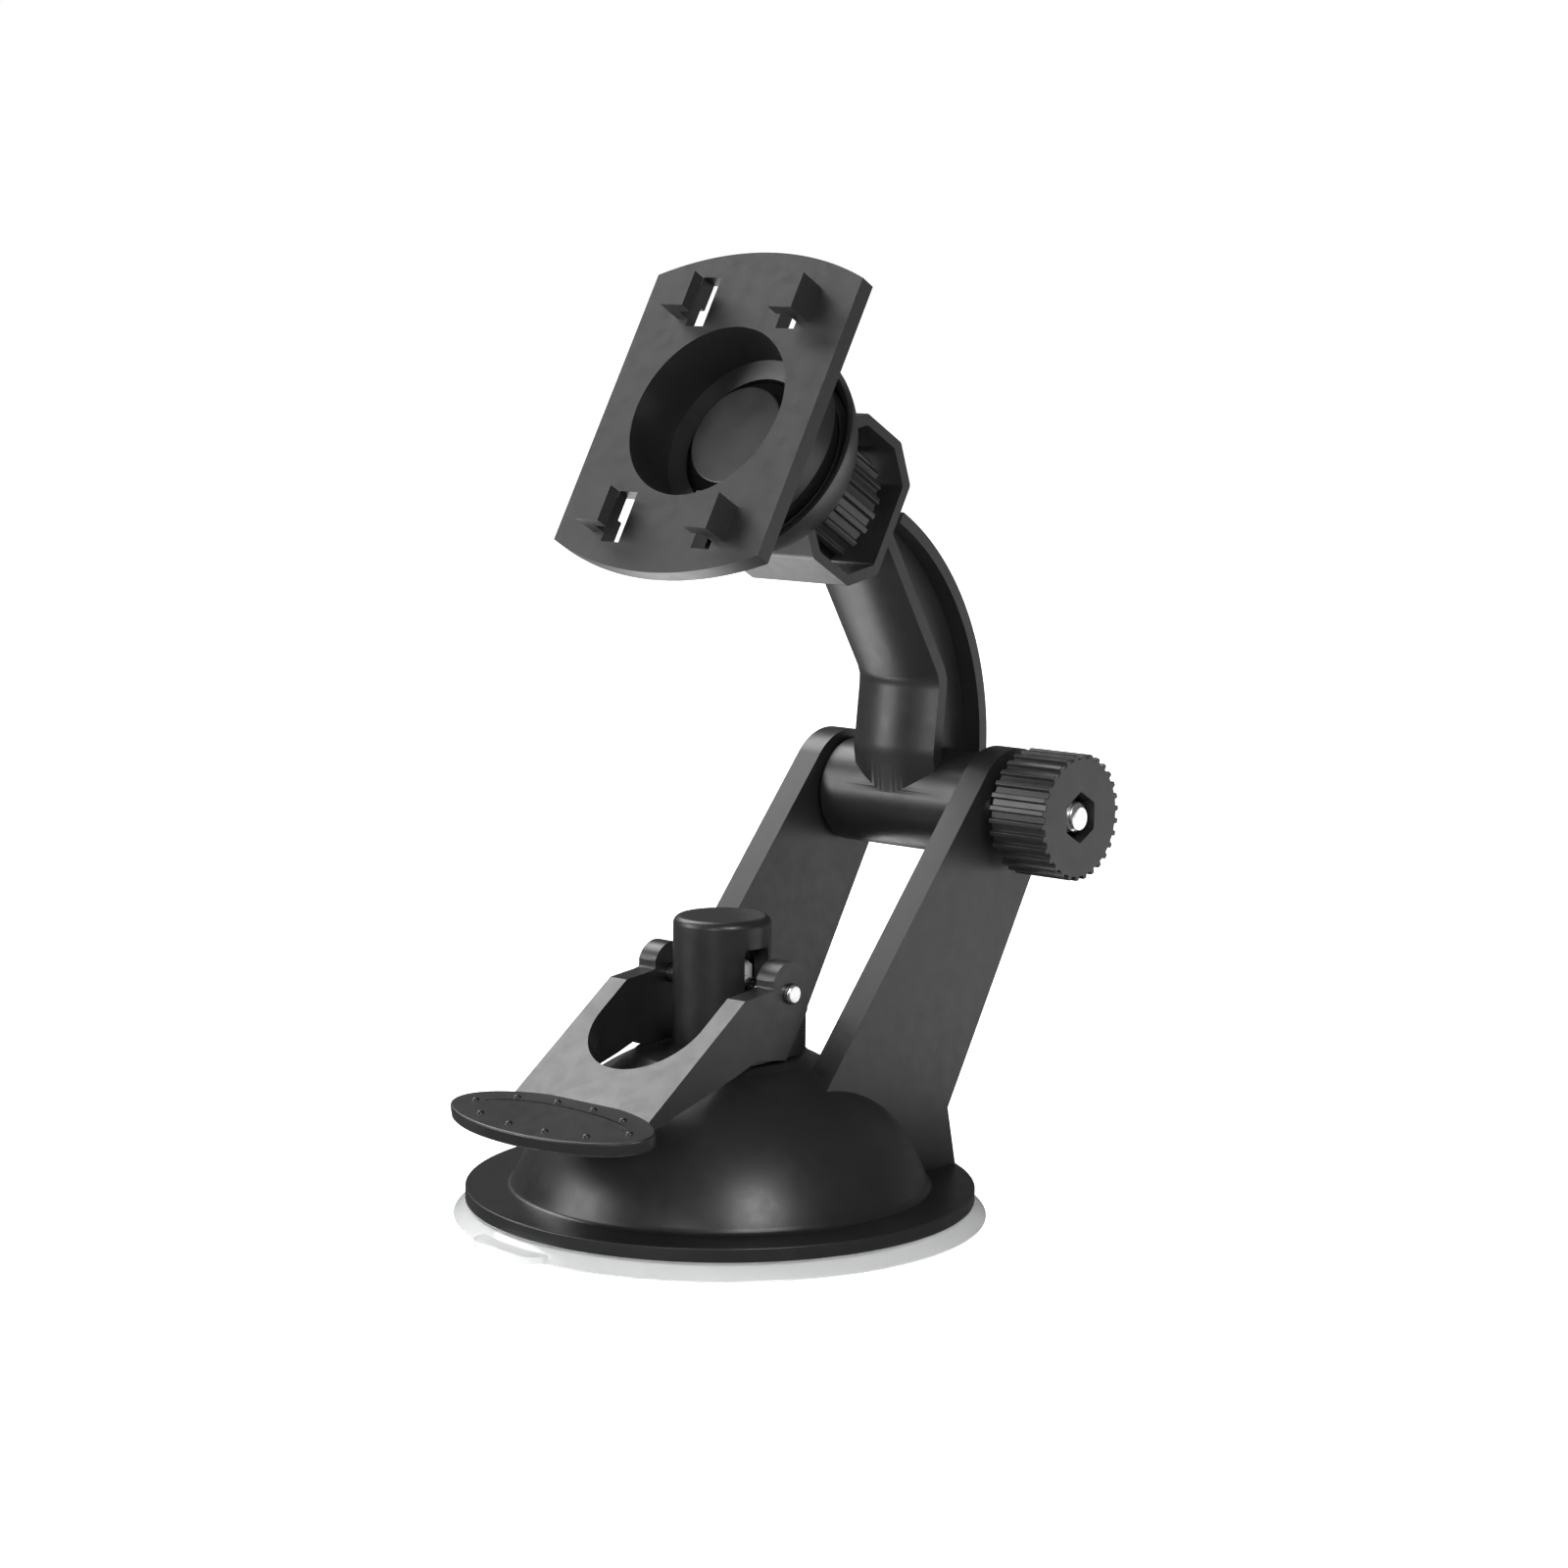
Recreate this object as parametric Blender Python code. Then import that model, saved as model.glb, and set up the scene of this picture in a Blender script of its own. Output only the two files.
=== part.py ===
"""Windscreen suction mount for a dash camera.

Frame: origin on the floor under the middle of the whole mount, +Z up, +X towards the clamping
knob, -Y towards the thumb lever.  All driving dimensions are in millimetres, from the suction
cup's centre.
"""
import math

import bmesh
import bpy
from mathutils import Matrix, Vector

MM = 0.001
GAP = 0.3                      # clearance between pieces that touch

# Suction cup and base housing
CUP_Y = -5.035                 # the cup's centre in the mount's own frame
CUP_RADIUS = 33.0
CUP_LIP = 0.25                 # thickness of the cup's very edge
CUP_TOP = 1.7
FLANGE_RADIUS = 31.55
FLANGE_BOTTOM = 2.0
FLANGE_TOP = 3.75
DOME_BASE_RADIUS = 25.9
DOME_RADIUS = 27.4             # of the sphere that the dome is part of
DOME_CENTRE_Z = FLANGE_TOP - math.sqrt(DOME_RADIUS ** 2 - DOME_BASE_RADIUS ** 2)
DOME_WALL = 2.2
LAND_RADIUS = 10.4             # flat ring around the post, which the lever's cams press on
LAND_Z = 20.5
POST_RADIUS = 6.06
POST_TOP = 37.3
POST_BORE = 4.0
POST_BORE_TOP = 34.6
SLOT_WIDTH = 4.3
SLOT_BOTTOM = 23.0
SLOT_TOP = 33.8

# Stem, pin and lever
STEM_RADIUS = 3.7
STEM_TOP = 31.6
DISC_RADIUS = 15.0
DISC_BOTTOM = 5.4
DISC_TOP = 7.0
PIN_Z = 28.95
PIN_RADIUS = 1.22
PIN_HALF = 11.95
CAM_LIFT = 3.4                 # how far the pin drops as the lever swings up a quarter turn
LEVER_HALF = 11.15
LEVER_INNER = 8.35             # inner faces of the lever's cheeks, and its cut-out's half width
CAM_OUTER = 9.75               # outer faces of the cam lobes
LEVER_PLATE = 2.4              # thickness of the lever's sloping plate
CUTOUT_Y = -11.05              # centre of the cut-out's round end
PAD_HALF_LENGTH = 15.75
PAD_HALF_WIDTH = 6.4
PAD_THICKNESS = 1.85
PAD_Y = -29.85
PAD_Z = 16.8                   # top face
PAD_TILT = 8.0                 # degrees, front edge down

# Fork hinge between the arms
HINGE_Y = 38.15
HINGE_Z = 48.0
ARM_INNER = 12.0
ARM_OUTER = 15.65
ARM_HEAD = 7.8
BARREL_RADIUS = 6.75
BARREL_HALF = 11.1
BOLT_RADIUS = 1.95             # M4
BOLT_BORE = 2.1
BOLT_END = 25.95
BOLT_HEAD_RADIUS = 3.6
BOLT_HEAD_DEPTH = 2.0
KNOB_INNER = 17.65
KNOB_OUTER = 26.05
KNOB_RADIUS = 8.05
KNOB_TEETH = 30
KNOB_RIB = 0.45
KNOB_COLLAR = 16.72            # face of the collar that bears on the washer
KNOB_COLLAR_RADIUS = 6.3
KNOB_SEAT = 20.4               # bottom of the pocket that the nut sits in
NUT_FLATS = 7.0                # M4 nut across flats
NUT_HEIGHT = 3.2
KNOB_MOUTH_FLATS = 5.7         # hexagonal mouth that shows the bolt's tip

# Ball joint and claw plate.  Its frame has x across the plate, y up along it and z out of its front.
PLATE_LEAN = 30.0              # degrees that the plate leans back from upright
PLATE_Y = -3.6
PLATE_Z = 99.0                 # middle of the plate's front face
BALL_DEPTH = 6.45              # from the plate's front face back to the ball's centre
PLATE_HALF_WIDTH = 16.5
PLATE_HALF_HEIGHT = 18.4
PLATE_BULGE = 3.3              # rise of the plate's arched top and bottom edges
PLATE_THICKNESS = 2.15
CUP_HOLE = 11.4                # radius of the plate's hole
SOCKET_STEP = 10.95            # radius at the foot of the hole
SOCKET_STEP_Z = -0.9
SOCKET_RING = 8.7
SOCKET_TOP = 12.45             # radius where the socket meets the plate
SOCKET_OUTER = 12.7
SOCKET_CREASE_Z = -2.3
SOCKET_SPHERE = 12.3
SOCKET_SEAT = 9.3
SOCKET_BACK = 10.75
BALL_RADIUS = 8.5
BALL_FACE_RADIUS = 6.65
BALL_FACE_Z = 0.42
NECK_FLATS_RADIUS = 3.0        # the ball's shank, which has two flats
NECK_FLAT = 2.5
CLAW_INNER = 6.9
CLAW_NECK = 8.7
CLAW_OUTER = 10.5
CLAW_HEIGHT = 3.56
CLAW_HOOK = 1.75               # thickness of a claw's overhang
CLAW_LOW = 12.3
CLAW_HIGH = 17.0
SLOT_INNER = 5.4
SLOT_LOW = 11.35
SLOT_HIGH = 18.1

# Neck
BOWL_OUTER = 14.66
BOWL_INNER = 13.55
BOWL_RIM_Z = -4.0
BOWL_FLOOR_Z = -11.1
BOWL_BACK_Z = -12.4
WINDOW_HALF = 7.73             # half the frame's depth along x
FRAME_HALF_HEIGHT = 9.98
FRAME_FRONT_Z = -7.6
FRAME_BACK_Z = -23.95
FRAME_CHAMFER_Y = 3.75
FRAME_CHAMFER_Z = 4.4
FRAME_WALL = 1.25
NECK_HALF = 6.6
NECK_BULGE = 2.0
NECK_SKIN = 1.6
WEB_HALF = 3.9
REAR_ARC_Y = 8.85
REAR_ARC_Z = 55.5
REAR_ARC_RADIUS = 34.85
REAR_FLANGE = 1.5

# Thumbwheel and its clamping bolt, in the ball joint's frame
WHEEL_RADIUS = 8.2
WHEEL_FRONT = -12.55
WHEEL_BACK = -19.35
WHEEL_TEETH = 24
WHEEL_RIB = 0.6
CLAMP_BOLT_END = -21.4

FINE = 48                      # sides of a large round piece
COARSE = 24                    # sides of a small one


# ---------------------------------------------------------------- helpers

def clear_scene():
    for obj in list(bpy.data.objects):
        bpy.data.objects.remove(obj, do_unlink=True)


def material(name, colour, roughness, metallic=0.0):
    mat = bpy.data.materials.new(name)
    mat.use_nodes = True
    shader = mat.node_tree.nodes["Principled BSDF"]
    shader.inputs["Base Color"].default_value = (*colour, 1.0)
    shader.inputs["Roughness"].default_value = roughness
    shader.inputs["Metallic"].default_value = metallic
    return mat


def empty(name, location, rotation=(0.0, 0.0, 0.0), parent=None):
    """A parent whose children are drawn in its own frame; millimetres and degrees."""
    obj = bpy.data.objects.new(name, None)
    obj.parent = parent
    obj.location = Vector(location) * MM
    obj.rotation_euler = [math.radians(a) for a in rotation]
    bpy.context.collection.objects.link(obj)
    return obj


def solid(name, bm, parent=None, mat=None, smooth=True):
    """Turn a bmesh drawn in millimetres into an object in metres."""
    bmesh.ops.scale(bm, vec=(MM, MM, MM), verts=bm.verts)
    bmesh.ops.recalc_face_normals(bm, faces=bm.faces)
    mesh = bpy.data.meshes.new(name)
    bm.to_mesh(mesh)
    bm.free()
    obj = bpy.data.objects.new(name, mesh)
    bpy.context.collection.objects.link(obj)
    obj.parent = parent
    if mat:
        mesh.materials.append(mat)
    if smooth:
        mesh.shade_smooth()
        mesh.set_sharp_from_angle(angle=math.radians(35))
    return obj


def combine(target, tool, operation):
    """Boolean the hidden tool with target; the tool stays as an editable guide."""
    tool.parent = tool.parent or target.parent
    tool.hide_render = True
    tool.display_type = "WIRE"
    step = target.modifiers.new(tool.name, "BOOLEAN")
    step.object = tool
    step.operation = operation
    step.solver = "EXACT"


def cut(target, name, bm):
    combine(target, solid(name, bm, target.parent), "DIFFERENCE")


def fuse(target, name, bm):
    combine(target, solid(name, bm, target.parent), "UNION")


def arc(centre, radius, start, end, steps):
    """Points along an arc, angles in degrees from the first axis towards the second."""
    points = []
    for i in range(steps + 1):
        angle = math.radians(start + (end - start) * i / steps)
        points.append((centre[0] + radius * math.cos(angle), centre[1] + radius * math.sin(angle)))
    return points


def turned(profile, sides=FINE):
    """Turn a profile of (radius, z) points about Z.

    An open profile starts and ends on the axis; a closed one goes round a hole.
    """
    bm = bmesh.new()
    rings = []
    for radius, z in profile:
        if radius < 1e-6:
            rings.append([bm.verts.new((0.0, 0.0, z))])
            continue
        ring = []
        for i in range(sides):
            angle = 2.0 * math.pi * i / sides
            ring.append(bm.verts.new((radius * math.cos(angle), radius * math.sin(angle), z)))
        rings.append(ring)
    on_axis = len(rings[0]) == 1
    pairs = list(zip(rings, rings[1:]))
    if not on_axis:
        pairs.append((rings[-1], rings[0]))
    for low, high in pairs:
        for i in range(sides):
            j = (i + 1) % sides
            corners = [low[i % len(low)], low[j % len(low)], high[j % len(high)], high[i % len(high)]]
            unique = list(dict.fromkeys(corners))
            if len(unique) > 2:
                bm.faces.new(unique)
    return bm


def prism(outline, axis, low, high):
    """Extrude an outline along x, y or z; its points are the other two axes in order."""
    bm = bmesh.new()
    ends = []
    for level in (low, high):
        ring = []
        for u, v in outline:
            place = {"x": (level, u, v), "y": (u, level, v), "z": (u, v, level)}[axis]
            ring.append(bm.verts.new(place))
        ends.append(ring)
    bm.faces.new(ends[0])
    bm.faces.new(ends[1][::-1])
    count = len(outline)
    for i in range(count):
        j = (i + 1) % count
        bm.faces.new((ends[0][i], ends[0][j], ends[1][j], ends[1][i]))
    return bm


def block(low, high):
    """A box between two opposite corners."""
    outline = [(low[0], low[1]), (high[0], low[1]), (high[0], high[1]), (low[0], high[1])]
    return prism(outline, "z", low[2], high[2])


def cylinder(radius, low, high, sides=COARSE):
    return turned([(0.0, low), (radius, low), (radius, high), (0.0, high)], sides)


def ring(inner, outer, low, high, sides=COARSE):
    return turned([(inner, low), (outer, low), (outer, high), (inner, high)], sides)


def hexagon(flats, turn=0.0):
    """Corner points of a hexagon by its width across flats."""
    return arc((0.0, 0.0), flats / math.sqrt(3.0), turn, turn + 300.0, 5)


def knurl(crest, depth, teeth):
    """Outline of a knurled rim of narrow flat-topped ribs."""
    points = []
    pitch = 2.0 * math.pi / teeth
    for i in range(teeth):
        for share, radius in ((0.0, crest - depth), (0.52, crest - depth), (0.6, crest), (0.92, crest)):
            angle = pitch * (i + share)
            points.append((radius * math.cos(angle), radius * math.sin(angle)))
    return points


def across_x(bm):
    """Turn a piece drawn along Z so that it lies along X."""
    bm.transform(Matrix.Rotation(math.radians(90.0), 4, "Y"))
    return bm


def placed(bm, offset):
    bmesh.ops.translate(bm, vec=offset, verts=bm.verts)
    return bm


def shell_arc(radius, start, end, steps):
    """Profile points on the lower half of a sphere, angles in degrees from straight down."""
    points = []
    for i in range(steps + 1):
        angle = math.radians(start + (end - start) * i / max(steps, 1))
        points.append((radius * math.sin(angle), -radius * math.cos(angle)))
    return points


# ---------------------------------------------------------------- base

def dome_point(radius, wall=0.0):
    return radius, DOME_CENTRE_Z + math.sqrt((DOME_RADIUS - wall) ** 2 - radius ** 2)


def make_base_housing(parent, mat):
    """Flange, dome, post and both arms: one moulding, hollow below."""
    land_edge = 8.9
    outer = [(0.0, FLANGE_BOTTOM), (FLANGE_RADIUS - 0.3, FLANGE_BOTTOM), (FLANGE_RADIUS, FLANGE_BOTTOM + 0.4),
             (FLANGE_RADIUS, FLANGE_TOP - 0.3), (FLANGE_RADIUS - 0.3, FLANGE_TOP)]
    outer += [dome_point(r) for r in (DOME_BASE_RADIUS, 24.6, 22.8, 20.4, 17.6, 14.4, LAND_RADIUS + 0.8)]
    outer += [(LAND_RADIUS, LAND_Z), (POST_RADIUS + 1.0, LAND_Z), (POST_RADIUS + 0.3, LAND_Z + 0.3),
              (POST_RADIUS, LAND_Z + 1.0)]
    outer += arc((POST_RADIUS - 1.0, POST_TOP - 1.0), 1.0, 0.0, 90.0, 3)
    outer += [(0.0, POST_TOP)]
    housing = solid("base_housing", turned(outer), parent, mat)
    for side in (-1, 1):
        fuse(housing, f"arm_guide_{side}", make_arm(side))
    inner = [(0.0, FLANGE_BOTTOM - 1.0), (24.0, FLANGE_BOTTOM - 1.0), (24.0, FLANGE_BOTTOM + 1.0)]
    inner += [dome_point(r, DOME_WALL) for r in (22.4, 19.5, 16.0, 12.0, land_edge, POST_BORE + 0.2)]
    inner += [(POST_BORE, 19.2), (POST_BORE, POST_BORE_TOP), (0.0, POST_BORE_TOP)]
    cut(housing, "housing_hollow", turned(inner))
    half = SLOT_WIDTH / 2.0
    cut(housing, "pin_slot", block((-POST_RADIUS - 2.0, -half, SLOT_BOTTOM), (POST_RADIUS + 2.0, half, SLOT_TOP)))
    bore = across_x(cylinder(BOLT_BORE, -ARM_OUTER - 1.0, ARM_OUTER + 1.0))
    cut(housing, "arm_bores", placed(bore, (0.0, HINGE_Y, HINGE_Z)))
    head = across_x(cylinder(BOLT_HEAD_RADIUS + 0.25, -ARM_OUTER - 1.0, -ARM_OUTER + BOLT_HEAD_DEPTH + 0.2))
    cut(housing, "bolt_head_recess", placed(head, (0.0, HINGE_Y, HINGE_Z)))
    return housing


def make_arm(side):
    """A flat arm, wider at its foot, rounded about the hinge."""
    front_slope = 0.8537
    rear_slope = 0.5746
    front_angle = math.degrees(math.atan2(front_slope, 1.0))
    rear_angle = math.degrees(math.atan2(rear_slope, 1.0))
    head = arc((HINGE_Y, HINGE_Z), ARM_HEAD, -rear_angle, 180.0 - front_angle, 12)
    foot = 3.0
    tangent_y, tangent_z = head[-1]
    front_foot = (tangent_y + front_slope * (8.0 - tangent_z), 8.0)
    outline = head + [front_foot, (2.0, foot), (27.25, foot), (27.1, FLANGE_TOP), (25.4, 11.3)]
    return prism(outline, "x", side * ARM_INNER, side * ARM_OUTER)


def make_suction_cup(parent, mat):
    """Clear cup: thin lip, arched middle, and a small pull tab at the front."""
    top = [(0.0, DISC_BOTTOM - GAP), (12.0, DISC_BOTTOM - GAP), (17.0, 4.3), (21.0, 2.4), (24.0, CUP_TOP),
           (CUP_RADIUS - 1.65, CUP_TOP), (CUP_RADIUS, CUP_LIP), (CUP_RADIUS - 0.1, 0.0)]
    under = [(24.0, 0.0), (20.0, 0.8), (15.0, 2.3), (10.0, 3.1), (0.0, 3.3)]
    cup = solid("suction_cup", turned(top + under, 64), parent, mat)
    half = 6.2
    reach = 34.3
    outline = [(-half, 29.0), (half, 29.0), (half, reach - 2.2), (half - 1.0, reach - 0.8), (half - 3.0, reach),
               (3.0 - half, reach), (1.0 - half, reach - 0.8), (-half, reach - 2.2)]
    tab = prism(outline, "z", 0.12, 1.05)
    bmesh.ops.rotate(tab, matrix=Matrix.Rotation(math.radians(172.0), 3, "Z"), verts=tab.verts)
    fuse(cup, "pull_tab_guide", tab)
    return cup


def make_cup_stem(parent, mat):
    """Rigid disc bonded to the cup, with the stud that the pin pulls on."""
    profile = [(0.0, DISC_BOTTOM), (DISC_RADIUS - 0.5, DISC_BOTTOM), (DISC_RADIUS, DISC_BOTTOM + 0.5),
               (DISC_RADIUS - 0.6, DISC_TOP - 0.4), (STEM_RADIUS + 0.8, DISC_TOP), (STEM_RADIUS, DISC_TOP + 0.8),
               (STEM_RADIUS, STEM_TOP - 0.5), (STEM_RADIUS - 0.5, STEM_TOP), (0.0, STEM_TOP)]
    stem = solid("cup_stem", turned(profile, COARSE), parent, mat)
    cross = across_x(cylinder(PIN_RADIUS + 0.06, -STEM_RADIUS - 1.0, STEM_RADIUS + 1.0))
    cut(stem, "stem_cross_hole", placed(cross, (0.0, 0.0, PIN_Z)))
    return stem


def make_return_spring(parent, mat):
    """Compression spring between the housing's roof and the stem's disc."""
    coil_radius = 5.6
    wire = 0.4
    low = DISC_TOP + GAP + wire
    high = 18.3
    turns = 4.5
    per_turn = 14
    sides = 5
    count = int(turns * per_turn)
    bm = bmesh.new()
    rings = []
    for i in range(count + 1):
        angle = 2.0 * math.pi * i / per_turn
        z = low + (high - low) * i / count
        centre = Vector((coil_radius * math.cos(angle), coil_radius * math.sin(angle), z))
        out = Vector((math.cos(angle), math.sin(angle), 0.0))
        loop = []
        for k in range(sides):
            turn = 2.0 * math.pi * k / sides
            loop.append(bm.verts.new(centre + out * (wire * math.cos(turn)) + Vector((0, 0, wire * math.sin(turn)))))
        rings.append(loop)
    for near, far in zip(rings, rings[1:]):
        for k in range(sides):
            m = (k + 1) % sides
            bm.faces.new((near[k], near[m], far[m], far[k]))
    bm.faces.new(rings[0][::-1])
    bm.faces.new(rings[-1])
    return solid("return_spring", bm, parent, mat)


# ---------------------------------------------------------------- lever

def cam_outline():
    """Cam curve about the pin: its reach falls steadily as the lever swings up."""
    reach_down = PIN_Z - LAND_Z - 0.15
    rate = -CAM_LIFT / (math.pi / 2.0)
    points = []
    for i in range(9):
        angle = math.pi / 2.0 * i / 8
        reach = reach_down - CAM_LIFT * i / 8
        y = reach * math.sin(angle) + rate * math.cos(angle)
        z = -reach * math.cos(angle) + rate * math.sin(angle)
        points.append((y, z))
    return points


def make_release_lever(parent, mat):
    """Two cheeks with cams, joined by a sloping plate that ends in the thumb pad."""
    ear = arc((0.0, 0.65), 2.8, 170.0, 0.0, 8)
    slope_low = Vector((-25.3, -12.1))
    slope_high = Vector((-8.1, 0.1))
    side = [tuple(slope_low), tuple(slope_high), (-3.2, 0.6)] + ear
    side += [(3.1, -2.5), (-0.6, -8.2), (-5.5, -7.5), (-6.3, -7.55), (-24.6, -13.3)]
    lever = solid("release_lever", prism(side, "x", -LEVER_HALF, LEVER_HALF), parent, mat)
    run = (slope_high - slope_low).normalized()
    below = Vector((run.y, -run.x)) * LEVER_PLATE
    low = slope_low + below + run * 1.6
    high = slope_high + below + run * 6.0
    channel = [tuple(low), tuple(high), (6.5, 4.5), (6.5, -14.0), (low.x, -20.0)]
    cut(lever, "lever_channel", prism(channel, "x", -LEVER_INNER, LEVER_INNER))
    mouth = [(-LEVER_INNER, 8.0)] + arc((0.0, CUTOUT_Y), LEVER_INNER, 180.0, 360.0, 16) + [(LEVER_INNER, 8.0)]
    cut(lever, "lever_cutout", prism(mouth, "z", -16.0, 8.0))
    lobe = cam_outline() + [(1.6, 0.6), (-4.6, 0.0), (-6.0, -7.0)]
    for sign in (-1, 1):
        outline = prism(lobe, "x", sign * (LEVER_INNER + 0.01), sign * CAM_OUTER)
        fuse(lever, f"cam_guide_{sign}", outline)
    cut(lever, "lever_pin_bore", across_x(cylinder(PIN_RADIUS + 0.07, -LEVER_HALF - 1.0, LEVER_HALF + 1.0)))
    fuse(lever, "thumb_pad_guide", make_thumb_pad())
    return lever


def make_thumb_pad():
    """Oval pad, tipped forward, with a rounded rim."""
    bm = bmesh.new()
    layers = ((-PAD_THICKNESS, 0.55), (-PAD_THICKNESS + 0.4, 0.0), (-0.45, 0.0), (0.0, 0.45))
    sides = 40
    loops = []
    for z, inset in layers:
        loop = []
        for i in range(sides):
            angle = 2.0 * math.pi * i / sides
            x = (PAD_HALF_LENGTH - inset) * math.cos(angle)
            y = (PAD_HALF_WIDTH - inset) * math.sin(angle)
            loop.append(bm.verts.new((x, y, z)))
        loops.append(loop)
    bm.faces.new(loops[0][::-1])
    bm.faces.new(loops[-1])
    for low, high in zip(loops, loops[1:]):
        for i in range(sides):
            j = (i + 1) % sides
            bm.faces.new((low[i], low[j], high[j], high[i]))
    bm.transform(Matrix.Rotation(math.radians(PAD_TILT), 4, "X"))
    return placed(bm, (0.0, PAD_Y, PAD_Z - PIN_Z))


def make_lever_pin(parent, mat):
    chamfer = 0.2
    profile = [(0.0, -PIN_HALF), (PIN_RADIUS - chamfer, -PIN_HALF), (PIN_RADIUS, -PIN_HALF + chamfer),
               (PIN_RADIUS, PIN_HALF - chamfer), (PIN_RADIUS - chamfer, PIN_HALF), (0.0, PIN_HALF)]
    return solid("lever_pin", across_x(turned(profile, 20)), parent, mat)


# ---------------------------------------------------------------- neck

def octagon(shrink):
    """Outline of the thumbwheel frame in the ball joint's y and z, moved in by shrink."""
    half = FRAME_HALF_HEIGHT - shrink
    front = FRAME_FRONT_Z - shrink
    back = FRAME_BACK_Z + shrink
    corner_y = FRAME_CHAMFER_Y - 0.4 * shrink
    corner_z = FRAME_CHAMFER_Z - 0.4 * shrink
    return [(half - corner_y, front), (half, front - corner_z), (half, back + corner_z), (half - corner_y, back),
            (corner_y - half, back), (-half, back + corner_z), (-half, front - corner_z), (corner_y - half, front)]


def neck_front_skin(frame_matrix):
    """Convex front skin of the neck: an edge line with one bend, drawn as a swept section."""
    path = [Vector((22.0, 83.3)), Vector((33.75, 64.2)), Vector((32.7, 54.5)), Vector((33.6, 49.0))]
    section = []
    for i in range(9):
        x = -NECK_HALF + 2.0 * NECK_HALF * i / 8
        section.append((x, NECK_BULGE * (1.0 - (x / NECK_HALF) ** 2)))
    section += [(NECK_HALF, -NECK_SKIN), (-NECK_HALF, -NECK_SKIN)]
    bm = bmesh.new()
    loops = []
    for i, point in enumerate(path):
        before = (point - path[i - 1]).normalized() if i else (path[1] - point).normalized()
        after = (path[i + 1] - point).normalized() if i + 1 < len(path) else before
        along = (before + after).normalized()
        stretch = 1.0 / max(along.dot(before), 0.5)
        outward = Vector((along.y, -along.x)) * stretch
        loops.append([bm.verts.new((x, point.x + outward.x * d, point.y + outward.y * d)) for x, d in section])
    bm.faces.new(loops[0][::-1])
    bm.faces.new(loops[-1])
    count = len(section)
    for low, high in zip(loops, loops[1:]):
        for k in range(count):
            m = (k + 1) % count
            bm.faces.new((low[k], low[m], high[m], high[k]))
    bm.transform(frame_matrix)
    return bm


def neck_web(frame_matrix):
    outer = arc((REAR_ARC_Y, REAR_ARC_Z), REAR_ARC_RADIUS - 0.6, -7.0, 60.5, 14)
    outline = outer + [(20.9, 82.8), (22.7, 82.6), (34.5, 63.8), (33.4, 54.5), (34.4, 48.0), (40.5, 46.0)]
    bm = prism(outline, "x", -WEB_HALF, WEB_HALF)
    bm.transform(frame_matrix)
    return bm


def neck_rear_flange(frame_matrix):
    outer = arc((REAR_ARC_Y, REAR_ARC_Z), REAR_ARC_RADIUS, -9.0, 60.5, 16)
    inner = arc((REAR_ARC_Y, REAR_ARC_Z), REAR_ARC_RADIUS - REAR_FLANGE, 60.5, -9.0, 16)
    bm = prism(outer + inner, "x", -NECK_HALF, NECK_HALF)
    bm.transform(frame_matrix)
    return bm


def flatted(radius, flat):
    """Outline of a round shank with two flats."""
    side = math.degrees(math.asin(flat / radius))
    return arc((0.0, 0.0), radius, -side, side, 6) + arc((0.0, 0.0), radius, 180.0 - side, 180.0 + side, 6)


def make_neck(ball_frame, mat):
    """Barrel, ribbed neck, thumbwheel frame and bowl: one moulding, drawn in the ball joint's frame."""
    to_ball = frame_of(ball_frame).inverted()
    neck = solid("neck", prism(octagon(0.0), "x", -WINDOW_HALF, WINDOW_HALF), ball_frame, mat)
    fuse(neck, "neck_web_guide", neck_web(to_ball))
    fuse(neck, "neck_skin_guide", neck_front_skin(to_ball))
    fuse(neck, "neck_flange_guide", neck_rear_flange(to_ball))
    barrel = placed(across_x(cylinder(BARREL_RADIUS, -BARREL_HALF, BARREL_HALF, FINE)), (0.0, HINGE_Y, HINGE_Z))
    barrel.transform(to_ball)
    fuse(neck, "barrel_guide", barrel)
    cut(neck, "wheel_window", prism(octagon(FRAME_WALL), "x", -WINDOW_HALF - 8.0, WINDOW_HALF + 8.0))
    rim = math.sqrt(BOWL_OUTER ** 2 - BOWL_RIM_Z ** 2)
    outer_angle = math.degrees(math.acos(-BOWL_RIM_Z / BOWL_OUTER))
    back_angle = math.degrees(math.acos(-BOWL_BACK_Z / BOWL_OUTER))
    bowl = [(0.0, BOWL_BACK_Z)] + shell_arc(BOWL_OUTER, back_angle, outer_angle, 7)
    bowl += [(rim - 3.0, BOWL_RIM_Z), (0.0, BOWL_FLOOR_Z)]
    fuse(neck, "bowl_guide", turned(bowl))
    floor_angle = math.degrees(math.acos(-BOWL_FLOOR_Z / BOWL_INNER))
    rim_angle = math.degrees(math.acos((0.5 - BOWL_RIM_Z) / BOWL_INNER))
    hollow = [(0.0, BOWL_FLOOR_Z)] + shell_arc(BOWL_INNER, floor_angle, rim_angle, 7)
    hollow += [(13.5, BOWL_RIM_Z + 0.01), (13.5, 2.0), (0.0, 2.0)]
    cut(neck, "bowl_hollow", turned(hollow))
    cut(neck, "shank_hole", prism(flatted(NECK_FLATS_RADIUS + 0.15, NECK_FLAT + 0.15), "z", -15.0, -9.0))
    bore = placed(across_x(cylinder(BOLT_BORE, -BARREL_HALF - 1.0, BARREL_HALF + 1.0)), (0.0, HINGE_Y, HINGE_Z))
    bore.transform(to_ball)
    cut(neck, "barrel_bore", bore)
    return neck


def frame_of(parent):
    """A parent's frame in millimetres, from the suction cup's centre."""
    matrix = parent.rotation_euler.to_matrix().to_4x4()
    matrix.translation = parent.location / MM
    return matrix


# ---------------------------------------------------------------- hinge hardware

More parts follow.
